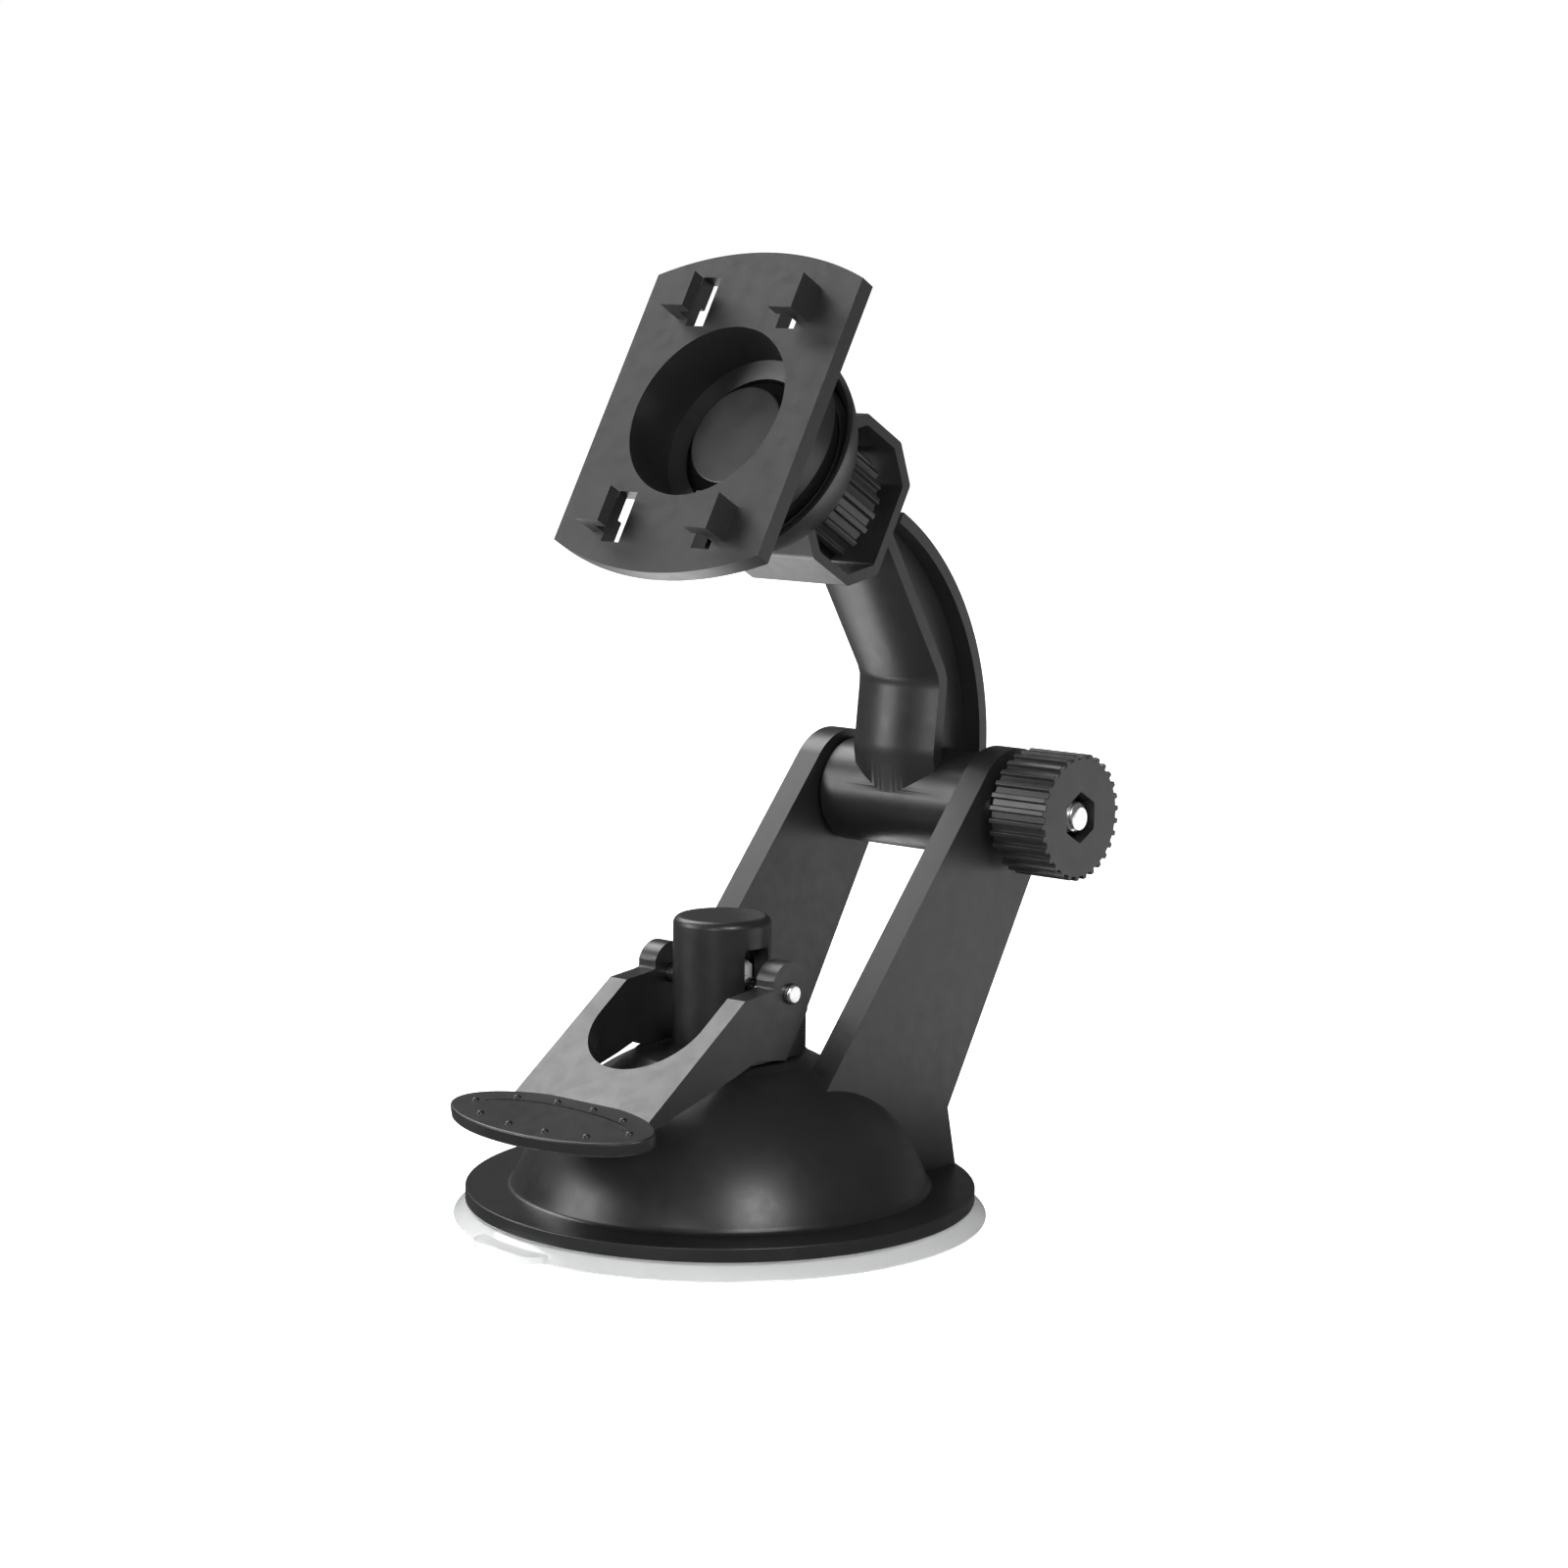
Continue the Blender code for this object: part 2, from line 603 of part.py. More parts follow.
def make_hinge_bolt(parent, mat):
    """Pan-head bolt: head sunk in the left arm, tip inside the knob."""
    head_face = -ARM_OUTER + 0.1
    shoulder = -ARM_OUTER + BOLT_HEAD_DEPTH
    profile = [(0.0, head_face), (BOLT_HEAD_RADIUS - 0.6, head_face), (BOLT_HEAD_RADIUS, head_face + 0.6),
               (BOLT_HEAD_RADIUS, shoulder), (BOLT_RADIUS, shoulder), (BOLT_RADIUS, BOLT_END - 0.4),
               (BOLT_RADIUS - 0.4, BOLT_END), (0.0, BOLT_END)]
    return solid("hinge_bolt", turned(profile, COARSE), parent, mat)


def make_washer(name, parent, mat, inner, outer, low, high):
    return solid(name, ring(inner, outer, low, high), parent, mat)


def make_knob(parent, mat):
    """Knurled knob with a collar towards the arm, a nut pocket inside and a hexagonal mouth."""
    rim = prism(knurl(KNOB_RADIUS, KNOB_RIB, KNOB_TEETH), "z", KNOB_INNER, KNOB_OUTER)
    knob = solid("clamp_knob", rim, parent, mat)
    fuse(knob, "knob_collar_guide", cylinder(KNOB_COLLAR_RADIUS, KNOB_COLLAR, KNOB_INNER + 0.5, FINE))
    cut(knob, "knob_pocket", prism(hexagon(NUT_FLATS + 0.25), "z", KNOB_COLLAR - 1.0, KNOB_SEAT))
    cut(knob, "knob_mouth", prism(hexagon(KNOB_MOUTH_FLATS), "z", KNOB_SEAT - 1.0, KNOB_OUTER + 1.0))
    return knob


def make_nut(name, parent, mat, low, high):
    nut = solid(name, prism(hexagon(NUT_FLATS), "z", low, high), parent, mat)
    cut(nut, f"{name}_bore", cylinder(BOLT_RADIUS + 0.06, low - 1.0, high + 1.0))
    return nut


# ---------------------------------------------------------------- ball joint

def make_thumbwheel(parent, mat):
    """Knurled wheel in the neck's window, recessed for a washer in front and a nut behind."""
    rim = prism(knurl(WHEEL_RADIUS, WHEEL_RIB, WHEEL_TEETH), "z", WHEEL_BACK, WHEEL_FRONT)
    wheel = solid("thumbwheel", rim, parent, mat)
    cut(wheel, "wheel_washer_recess", cylinder(5.7, WHEEL_FRONT - 0.9, WHEEL_FRONT + 1.0))
    cut(wheel, "wheel_nut_pocket", prism(hexagon(NUT_FLATS + 0.3), "z", WHEEL_BACK - 1.0, WHEEL_BACK + 3.6))
    cut(wheel, "wheel_bore", cylinder(BOLT_RADIUS + 0.2, WHEEL_BACK - 2.0, WHEEL_FRONT + 2.0))
    return wheel


def make_ball_head(parent, mat):
    """Flat-faced ball with a flatted shank that keeps it from turning in the bowl's floor."""
    lowest = math.degrees(math.asin(NECK_FLATS_RADIUS * 0.5 / BALL_RADIUS))
    profile = [(0.0, -BALL_RADIUS)] + shell_arc(BALL_RADIUS, lowest, 78.0, 9)
    profile += [(BALL_FACE_RADIUS + 0.2, -0.5), (BALL_FACE_RADIUS, BALL_FACE_Z - 0.25),
                (BALL_FACE_RADIUS - 0.25, BALL_FACE_Z), (0.0, BALL_FACE_Z)]
    head = solid("ball_head", turned(profile, 36), parent, mat)
    fuse(head, "ball_shank_guide", prism(flatted(NECK_FLATS_RADIUS, NECK_FLAT), "z", BOWL_BACK_Z + 0.15, -7.0))
    cut(head, "ball_bolt_pocket", prism(hexagon(7.3), "z", -4.4, -1.2))
    cut(head, "ball_bolt_bore", cylinder(BOLT_RADIUS + 0.15, BOWL_BACK_Z - 1.0, -3.0))
    return head


def make_clamp_bolt(parent, mat):
    """Hex-head bolt moulded into the ball; the thumbwheel's nut runs on it."""
    bolt = solid("clamp_bolt", prism(hexagon(7.0), "z", -4.25, -1.35), parent, mat)
    fuse(bolt, "clamp_shank_guide", cylinder(BOLT_RADIUS, CLAMP_BOLT_END, -3.0))
    return bolt


def make_zone(name, parent, mat, inner, outer, start, end):
    """A washer cut from a spherical shell, between two angles from straight down."""
    profile = shell_arc(inner, end, start, 3) + shell_arc(outer, start, end, 3)
    return solid(name, turned(profile, 36), parent, mat)


def plate_outline():
    """Straight sides, arched top and bottom."""
    radius = (PLATE_HALF_WIDTH ** 2 + PLATE_BULGE ** 2) / (2.0 * PLATE_BULGE)
    middle = PLATE_HALF_HEIGHT + PLATE_BULGE - radius
    spread = math.degrees(math.asin(PLATE_HALF_WIDTH / radius))
    top = arc((0.0, middle), radius, 90.0 - spread, 90.0 + spread, 12)
    bottom = [(-x, -y) for x, y in top]
    return top + bottom


def make_claw_plate(parent, mat):
    """Plate with four hooked claws and, behind it, the ball's socket: one moulding."""
    front = BALL_DEPTH
    back = BALL_DEPTH - PLATE_THICKNESS
    plate = solid("claw_plate", prism(plate_outline(), "z", back, front), parent, mat)
    seat_low = 43.5
    seat_high = math.degrees(math.asin(SOCKET_RING / SOCKET_SEAT))
    flare = (CUP_HOLE - SOCKET_STEP) / (front - SOCKET_STEP_Z)
    socket = [(0.0, back + 0.5), (SOCKET_TOP, back + 0.5), (SOCKET_OUTER, SOCKET_CREASE_Z)]
    socket += shell_arc(SOCKET_SPHERE, 78.0, 50.0, 5)
    socket += shell_arc(SOCKET_BACK, 46.0, seat_low - 4.0, 1)
    socket += [(0.0, socket[-1][1])]
    fuse(plate, "socket_guide", turned(socket))
    hollow = [(0.0, -SOCKET_BACK - 1.0)]
    hollow += shell_arc(SOCKET_BACK + 1.0, seat_low, seat_low, 0)
    hollow += shell_arc(SOCKET_SEAT, seat_low, seat_high, 5)
    hollow += [(SOCKET_RING, -1.6), (SOCKET_STEP, SOCKET_STEP_Z), (CUP_HOLE + flare, front + 1.0),
               (0.0, front + 1.0)]
    cut(plate, "socket_hollow", turned(hollow))
    for i, (sx, sy) in enumerate(((-1, 1), (1, 1), (-1, -1), (1, -1))):
        low_y, high_y = sorted((sy * SLOT_LOW, sy * SLOT_HIGH))
        low_x, high_x = sorted((sx * SLOT_INNER, sx * (CLAW_NECK + 0.02)))
        cut(plate, f"claw_slot_{i}", block((low_x, low_y, back - 0.2), (high_x, high_y, front + 0.2)))
        hook = [(CLAW_OUTER, front - 0.5), (CLAW_OUTER, front + CLAW_HEIGHT), (CLAW_INNER, front + CLAW_HEIGHT),
                (CLAW_INNER, front + CLAW_HEIGHT - CLAW_HOOK), (CLAW_NECK, front + CLAW_HEIGHT - CLAW_HOOK),
                (CLAW_NECK, front - 0.5)]
        outline = [(sx * x, z) for x, z in hook]
        low_y, high_y = sorted((sy * CLAW_LOW, sy * CLAW_HIGH))
        fuse(plate, f"claw_guide_{i}", prism(outline, "y", low_y, high_y))
    return plate


# ---------------------------------------------------------------- assembly

def main():
    clear_scene()
    black = material("black_plastic", (0.022, 0.022, 0.023), 0.42)
    knob_black = material("knob_plastic", (0.026, 0.026, 0.027), 0.5)
    clear = material("clear_cup", (0.86, 0.88, 0.88), 0.12)
    steel = material("steel", (0.72, 0.73, 0.75), 0.28, 1.0)
    spring_steel = material("spring_steel", (0.5, 0.5, 0.52), 0.35, 1.0)
    nylon = material("nylon", (0.6, 0.58, 0.54), 0.5)
    rubber = material("rubber", (0.015, 0.015, 0.015), 0.8)

    cup_frame = empty("cup_frame", (0.0, CUP_Y, 0.0))
    pin_axis = empty("pin_axis", (0.0, 0.0, PIN_Z), parent=cup_frame)
    hinge_axis = empty("hinge_axis", (0.0, HINGE_Y, HINGE_Z), (0.0, 90.0, 0.0), cup_frame)
    lean = math.radians(PLATE_LEAN)
    ball_place = (0.0, PLATE_Y + BALL_DEPTH * math.cos(lean), PLATE_Z - BALL_DEPTH * math.sin(lean))
    ball_frame = empty("ball_frame", ball_place, (90.0 - PLATE_LEAN, 0.0, 0.0), cup_frame)

    make_base_housing(cup_frame, black)
    make_suction_cup(cup_frame, clear)
    make_cup_stem(cup_frame, nylon)
    make_return_spring(cup_frame, spring_steel)
    make_release_lever(pin_axis, black)
    make_lever_pin(pin_axis, steel)

    make_neck(ball_frame, black)
    make_hinge_bolt(hinge_axis, steel)
    make_washer("left_friction_washer", hinge_axis, rubber, 2.3, 6.0, -ARM_INNER + 0.12, -BARREL_HALF - 0.12)
    make_washer("right_friction_washer", hinge_axis, rubber, 2.3, 6.0, BARREL_HALF + 0.12, ARM_INNER - 0.12)
    make_washer("knob_washer", hinge_axis, steel, 2.2, 5.0, ARM_OUTER + 0.12, KNOB_COLLAR - 0.15)
    make_knob(hinge_axis, knob_black)
    make_nut("knob_nut", hinge_axis, steel, KNOB_SEAT - 0.15 - NUT_HEIGHT, KNOB_SEAT - 0.15)

    make_thumbwheel(ball_frame, knob_black)
    make_washer("wheel_washer", ball_frame, steel, 3.3, 5.5, WHEEL_FRONT - 0.75, WHEEL_FRONT)
    make_nut("wheel_nut", ball_frame, steel, WHEEL_BACK + 0.15, WHEEL_BACK + 0.15 + NUT_HEIGHT)
    make_ball_head(ball_frame, black)
    make_clamp_bolt(ball_frame, steel)
    make_zone("seat_washer", ball_frame, nylon, 8.62, 9.18, 43.5, 66.0)
    make_zone("friction_ring", ball_frame, rubber, 12.42, 13.4, 50.5, 62.0)
    make_claw_plate(ball_frame, black)


main()
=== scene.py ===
"""Looks of the dash camera's suction mount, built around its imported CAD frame.

Pieces are drawn in millimetres in the frame of the joint they belong to, and end in metres in the
frame's own world.
"""
import math

import bmesh
import bpy
from mathutils import Matrix, Vector


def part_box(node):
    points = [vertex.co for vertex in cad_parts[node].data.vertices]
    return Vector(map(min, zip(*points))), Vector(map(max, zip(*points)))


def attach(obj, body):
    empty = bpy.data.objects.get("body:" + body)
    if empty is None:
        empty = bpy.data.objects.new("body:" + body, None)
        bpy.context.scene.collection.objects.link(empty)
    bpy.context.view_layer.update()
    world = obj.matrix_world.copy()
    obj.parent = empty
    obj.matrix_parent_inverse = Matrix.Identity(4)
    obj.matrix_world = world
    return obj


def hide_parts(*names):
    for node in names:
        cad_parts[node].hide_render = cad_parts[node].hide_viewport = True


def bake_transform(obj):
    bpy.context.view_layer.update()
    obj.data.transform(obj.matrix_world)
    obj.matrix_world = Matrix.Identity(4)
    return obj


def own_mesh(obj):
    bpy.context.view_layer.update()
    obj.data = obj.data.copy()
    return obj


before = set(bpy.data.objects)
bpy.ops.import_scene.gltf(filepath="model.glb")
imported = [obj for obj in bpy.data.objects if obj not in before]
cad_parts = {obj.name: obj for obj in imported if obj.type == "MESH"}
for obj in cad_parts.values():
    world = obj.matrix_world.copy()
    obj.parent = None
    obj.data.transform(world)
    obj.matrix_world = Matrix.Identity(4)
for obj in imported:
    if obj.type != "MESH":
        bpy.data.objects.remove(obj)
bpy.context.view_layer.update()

MM = 0.001
ROUND = 160                    # sides of a large turned piece
SMALL = 72                     # sides of a small one
INSET = 0.02                   # keeps outermost faces inside the CAD model's box

# Base
CUP_RADIUS = 33.0 - INSET
FLANGE_RADIUS = 31.55 - INSET
FLANGE_BOTTOM = 2.0
FLANGE_TOP = 3.75
DOME_BASE_RADIUS = 25.9
DOME_RADIUS = 27.4
DOME_CENTRE_Z = FLANGE_TOP - math.sqrt(DOME_RADIUS ** 2 - DOME_BASE_RADIUS ** 2)
DOME_WALL = 2.2
LAND_RADIUS = 10.4
LAND_Z = 20.5
POST_RADIUS = 6.06
POST_TOP = 37.3
POST_BORE = 4.0
POST_BORE_TOP = 34.6
SLOT_WIDTH = 4.3
SLOT_BOTTOM = 23.0
SLOT_TOP = 33.8

# Stem, pin and lever
STEM_RADIUS = 3.7
STEM_TOP = 31.6
DISC_RADIUS = 15.0
DISC_BOTTOM = 5.4
DISC_TOP = 7.0
PIN_RADIUS = 1.22
PIN_HALF = 11.95 - INSET
LEVER_HALF = 11.15
LEVER_INNER = 8.35
CAM_OUTER = 9.75
LEVER_PLATE = 2.4
CUTOUT_UP_SLOPE = 15.3         # from the slope's lower edge to the centre of the cut-out's round end
PAD_HALF_LENGTH = 15.75 - INSET
PAD_HALF_WIDTH = 6.4 - INSET
PAD_THICKNESS = 1.85
PAD_Y = -29.85
PAD_Z = 17.05
PAD_TILT = 8.0
STUD_RADIUS = 0.48
STUDS = ((12.65, 0.0), (8.7, 3.1), (2.95, 4.1))   # repeated across both axes of the pad
GROOVE_HALF_LENGTH = 11.5      # the engraved line is part of an ellipse inside the studs
GROOVE_HALF_WIDTH = 3.25
GROOVE_WIDTH = 0.34

# Hinge
ARM_INNER = 12.0
ARM_OUTER = 15.65
ARM_HEAD = 7.8
BARREL_RADIUS = 6.75
BARREL_HALF = 11.1
BOLT_RADIUS = 1.95
BOLT_BORE = 2.1
BOLT_PITCH = 0.7
BOLT_END = 25.95
BOLT_HEAD_RADIUS = 3.6
BOLT_HEAD_DEPTH = 2.0
KNOB_INNER = 17.65
KNOB_OUTER = 26.05
KNOB_RADIUS = 8.05 - INSET
KNOB_TEETH = 30
KNOB_RIB = 0.55
KNOB_COLLAR = 16.72
KNOB_COLLAR_RADIUS = 6.3
KNOB_SEAT = 20.4
KNOB_MOUTH_FLATS = 5.7
NUT_FLATS = 7.0
NUT_HEIGHT = 3.2

# Ball joint and claw plate
PLATE_LEAN = 30.0
PLATE_Y = -3.6
PLATE_Z = 99.0
BALL_DEPTH = 6.45
PLATE_HALF_WIDTH = 16.5 - INSET
PLATE_HALF_HEIGHT = 18.4 - INSET
PLATE_BULGE = 3.3
PLATE_THICKNESS = 2.15
CUP_HOLE = 11.4
SOCKET_STEP = 10.95
SOCKET_STEP_Z = -0.9
SOCKET_RING = 8.7
SOCKET_TOP = 12.45
SOCKET_OUTER = 12.7
SOCKET_CREASE_Z = -2.3
SOCKET_SPHERE = 12.3
SOCKET_SEAT = 9.3
SOCKET_BACK = 10.75
BALL_RADIUS = 8.5
BALL_FACE_RADIUS = 6.65
BALL_FACE_Z = 0.42
SHANK_RADIUS = 3.0
SHANK_FLAT = 2.5
CLAW_INNER = 6.9
CLAW_NECK = 8.7
CLAW_OUTER = 10.5
CLAW_HEIGHT = 3.56 - INSET
CLAW_HOOK = 1.75
CLAW_LOW = 12.3
CLAW_HIGH = 17.0
SLOT_INNER = 5.85
SLOT_LOW = 11.35
SLOT_HIGH = 18.1
RECESS_DEPTH = 0.7             # behind each slot, on the side nearer the plate's middle
RECESS_OUTER = 9.5
RECESS_HIGH = 14.6

# Neck and thumbwheel
BOWL_OUTER = 14.66
BOWL_INNER = 13.55
BOWL_RIM_Z = -4.0
BOWL_FLOOR_Z = -11.1
BOWL_BACK_Z = -12.4
WINDOW_HALF = 7.73
FRAME_HALF_HEIGHT = 9.98
FRAME_FRONT_Z = -7.6
FRAME_BACK_Z = -23.95
FRAME_CHAMFER_Y = 3.75
FRAME_CHAMFER_Z = 4.4
FRAME_WALL = 1.25
NECK_HALF = 6.6
NECK_BULGE = 2.0
NECK_SKIN = 1.6
WEB_HALF = 3.9
REAR_ARC = (8.85, 55.5)
REAR_ARC_RADIUS = 34.85
REAR_FLANGE = 1.5
WHEEL_RADIUS = 8.2
WHEEL_FRONT = -12.55
WHEEL_BACK = -19.35
WHEEL_TEETH = 24
WHEEL_RIB = 0.6
RIB_SHARES = (0.5, 0.58, 0.92)  # where a rib's foot, top and end fall in its pitch
CLAMP_BOLT_END = -21.4
CLAMP_BOLT_NECK = -4.0          # end of the plain root of the ball's bolt, inside its head
NUT_POCKET = 3.6
WASHER_POCKET = 0.9

# Washers and nuts: inner and outer radii, and running gaps
FRICTION_WASHER = (2.3, 6.0)
KNOB_WASHER = (2.2, 5.0)
WHEEL_WASHER = (3.3, 5.5)
WHEEL_WASHER_THICKNESS = 0.75
WASHER_GAP = 0.12
NUT_GAP = 0.15

# Shells between the ball and its sockets: radii, and angles from straight down
SEAT_SHELL = (8.62, 9.18)
SEAT_LOW = 43.5
SEAT_HIGH = 66.0
RING_SHELL = (12.42, 13.4)
RING_LOW = 50.5
RING_HIGH = 62.0


def middle_of(node):
    """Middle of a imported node's box, in millimetres."""
    low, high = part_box(node)
    return (Vector(low) + Vector(high)) / 2.0 / MM


PIN_CENTRE = middle_of("lever_pin")
HINGE_CENTRE = Vector((0.0, middle_of("knob_nut").y, middle_of("knob_nut").z))
CUP_Y = PIN_CENTRE.y
HINGE_Y = HINGE_CENTRE.y - CUP_Y
HINGE_Z = HINGE_CENTRE.z
PIN_Z = PIN_CENTRE.z
LEAN = math.radians(PLATE_LEAN)
BALL_CENTRE = Vector((0.0, CUP_Y + PLATE_Y + BALL_DEPTH * math.cos(LEAN),
                      PLATE_Z - BALL_DEPTH * math.sin(LEAN)))

AT_CUP = Matrix.Translation((0.0, CUP_Y, 0.0))
AT_PIN = Matrix.Translation(PIN_CENTRE)
AT_HINGE = Matrix.Translation(HINGE_CENTRE) @ Matrix.Rotation(math.radians(90.0), 4, "Y")
AT_BALL = Matrix.Translation(BALL_CENTRE) @ Matrix.Rotation(math.radians(90.0 - PLATE_LEAN), 4, "X")


# ---------------------------------------------------------------- mesh helpers

def arc(centre, radius, start, end, steps):
    """Points along an arc, angles in degrees from the first axis towards the second."""
    points = []
    for i in range(steps + 1):
        angle = math.radians(start + (end - start) * i / steps)
        points.append((centre[0] + radius * math.cos(angle), centre[1] + radius * math.sin(angle)))
    return points


def rounded(outline, radius, steps=5):
    """Outline with each corner turned into an arc, as large as its edges leave room for."""
    points = []
    count = len(outline)
    for i in range(count):
        here = Vector(outline[i])
        back = Vector(outline[i - 1]) - here
        ahead = Vector(outline[(i + 1) % count]) - here
        turn = back.angle(ahead)
        if math.pi - turn < math.radians(12.0):
            points.append(tuple(here))
            continue
        reach = min(radius / math.tan(turn / 2.0), 0.45 * back.length, 0.45 * ahead.length)
        start = here + back.normalized() * reach
        end = here + ahead.normalized() * reach
        for k in range(steps + 1):
            t = k / steps
            points.append(tuple(start * (1 - t) ** 2 + here * 2 * t * (1 - t) + end * t ** 2))
    return points


def turned(profile, sides=ROUND):
    """Turn a profile of (radius, z) points about Z; an open one starts and ends on the axis."""
    bm = bmesh.new()
    rings = []
    for radius, z in profile:
        if radius < 1e-6:
            rings.append([bm.verts.new((0.0, 0.0, z))])
            continue
        loop = []
        for i in range(sides):
            angle = 2.0 * math.pi * i / sides
            loop.append(bm.verts.new((radius * math.cos(angle), radius * math.sin(angle), z)))
        rings.append(loop)
    pairs = list(zip(rings, rings[1:]))
    if len(rings[0]) > 1:
        pairs.append((rings[-1], rings[0]))
    for low, high in pairs:
        for i in range(sides):
            j = (i + 1) % sides
            corners = [low[i % len(low)], low[j % len(low)], high[j % len(high)], high[i % len(high)]]
            unique = list(dict.fromkeys(corners))
            if len(unique) > 2:
                bm.faces.new(unique)
    return bm


def lofted(loops):
    """Skin closed loops of equal length into one closed solid with flat ends."""
    bm = bmesh.new()
    rows = [[bm.verts.new(point) for point in loop] for loop in loops]
    bm.faces.new(rows[0][::-1])
    bm.faces.new(rows[-1])
    count = len(rows[0])
    for low, high in zip(rows, rows[1:]):
        for k in range(count):
            m = (k + 1) % count
            bm.faces.new((low[k], low[m], high[m], high[k]))
    return bm


def prism(outline, axis, low, high):
    """Extrude an outline along x, y or z; its points are the other two axes in order."""
    loops = []
    for level in (low, high):
        if axis == "x":
            loops.append([(level, u, v) for u, v in outline])
        elif axis == "y":
            loops.append([(u, level, v) for u, v in outline])
        else:
            loops.append([(u, v, level) for u, v in outline])
    return lofted(loops)


def block(low, high):
    """Box between two opposite corners."""
    outline = [(low[0], low[1]), (high[0], low[1]), (high[0], high[1]), (low[0], high[1])]
    return prism(outline, "z", low[2], high[2])


def cylinder(radius, low, high, sides=SMALL):
    return turned([(0.0, low), (radius, low), (radius, high), (0.0, high)], sides)


def ring(inner, outer, low, high, chamfer=0.12, sides=ROUND):
    """A flat ring with softened outer edges."""
    return turned([(inner, low), (outer - chamfer, low), (outer, low + chamfer), (outer, high - chamfer),
                   (outer - chamfer, high), (inner, high)], sides)


def hexagon(flats):
    """Outline of a hexagon, by its size across flats."""
    return arc((0.0, 0.0), flats / math.sqrt(3.0), 0.0, 300.0, 5)


def flatted(radius, flat):
    """Outline of a round shank with two flats."""
    side = math.degrees(math.asin(flat / radius))
    return arc((0.0, 0.0), radius, -side, side, 16) + arc((0.0, 0.0), radius, 180.0 - side, 180.0 + side, 16)


def shell_arc(radius, start, end, steps):
    """Profile points on the lower half of a sphere, angles in degrees from straight down."""
    points = []
    for i in range(steps + 1):
        angle = math.radians(start + (end - start) * i / max(steps, 1))
        points.append((radius * math.sin(angle), -radius * math.cos(angle)))
    return points


def moved(bm, matrix):
    bm.transform(matrix)
    return bm


def across_x(bm):
    """Lay a shape that was turned about Z along X."""
    return moved(bm, Matrix.Rotation(math.radians(90.0), 4, "Y"))


def mesh_object(name, bm):
    """Put a mesh in the scene with its faces pointing out."""
    bmesh.ops.recalc_face_normals(bm, faces=bm.faces)
    mesh = bpy.data.meshes.new(name)
    bm.to_mesh(mesh)
    bm.free()
    obj = bpy.data.objects.new(name, mesh)
    bpy.context.scene.collection.objects.link(obj)
    return obj


def carve(obj, steps):
    """Join and cut helper shapes in order, and keep only the result."""
    helpers = []
    for operation, bm in steps:
        helper = mesh_object(f"{obj.name}_helper", bm)
        step = obj.modifiers.new(operation, "BOOLEAN")
        step.object = helper
        step.operation = operation
        step.solver = "EXACT"
        helpers.append(helper)
    depsgraph = bpy.context.evaluated_depsgraph_get()
    result = bpy.data.meshes.new_from_object(obj.evaluated_get(depsgraph))
    obj.modifiers.clear()
    obj.data = result
    for helper in helpers:
        bpy.data.objects.remove(helper, do_unlink=True)


def join(bm):
    return "UNION", bm


def cut(bm):
    return "DIFFERENCE", bm


def piece(name, bm, at, steps, mat, body, nodes, edge=0.2, facet=32.0):
    """Finish one visible piece: shape it, round its edges, and hang it on its body, if it has just one."""
    obj = mesh_object(name, bm)
    if steps:
        carve(obj, steps)
    obj.data.transform(Matrix.Scale(MM, 4) @ at)
    tidy = bmesh.new()
    tidy.from_mesh(obj.data)
    bmesh.ops.remove_doubles(tidy, verts=tidy.verts, dist=0.000002)
    bmesh.ops.dissolve_degenerate(tidy, edges=tidy.edges, dist=0.000002)
    tidy.to_mesh(obj.data)
    tidy.free()
    obj.data.materials.clear()
    obj.data.materials.append(mat)
    obj.data.shade_smooth()
    if edge:
        soft = obj.modifiers.new("edge_round", "BEVEL")
        soft.width = edge * MM
        soft.segments = 2
        soft.limit_method = "ANGLE"
        soft.angle_limit = math.radians(facet)
        soft.use_clamp_overlap = True
        even = obj.modifiers.new("even_shading", "WEIGHTED_NORMAL")
        even.keep_sharp = True
    else:
        obj.data.set_sharp_from_angle(angle=math.radians(facet))
    if body:
        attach(obj, body)
    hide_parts(*nodes)
    return obj


# ---------------------------------------------------------------- materials

def graph(name):
    """A new material with its nodes, links and shader."""
    mat = bpy.data.materials.new(name)
    mat.use_nodes = True
    return mat, mat.node_tree.nodes, mat.node_tree.links, mat.node_tree.nodes["Principled BSDF"]


def noise(nodes, links, scale, detail=4.0, rough=0.55):
    """Noise fixed to the piece, in its own coordinates."""
    place = nodes.new("ShaderNodeTexCoord")
    tex = nodes.new("ShaderNodeTexNoise")
    tex.inputs["Scale"].default_value = scale
    tex.inputs["Detail"].default_value = detail
    tex.inputs["Roughness"].default_value = rough
    links.new(place.outputs["Object"], tex.inputs["Vector"])
    return tex


def spread(nodes, links, source, low, high):
    """Map a texture's middle range to low..high."""
    remap = nodes.new("ShaderNodeMapRange")
    remap.inputs["From Min"].default_value = 0.3
    remap.inputs["From Max"].default_value = 0.7
    remap.inputs["To Min"].default_value = low
    remap.inputs["To Max"].default_value = high
    links.new(source, remap.inputs["Value"])
    return remap.outputs["Result"]


def tinted(nodes, links, source, dark, light):
    """Colour that runs from dark to light with a texture."""
    ramp = nodes.new("ShaderNodeValToRGB")
    ramp.color_ramp.elements[0].position = 0.32
    ramp.color_ramp.elements[0].color = (*dark, 1.0)
    ramp.color_ramp.elements[1].position = 0.7
    ramp.color_ramp.elements[1].color = (*light, 1.0)
    links.new(source, ramp.inputs["Fac"])
    return ramp.outputs["Color"]


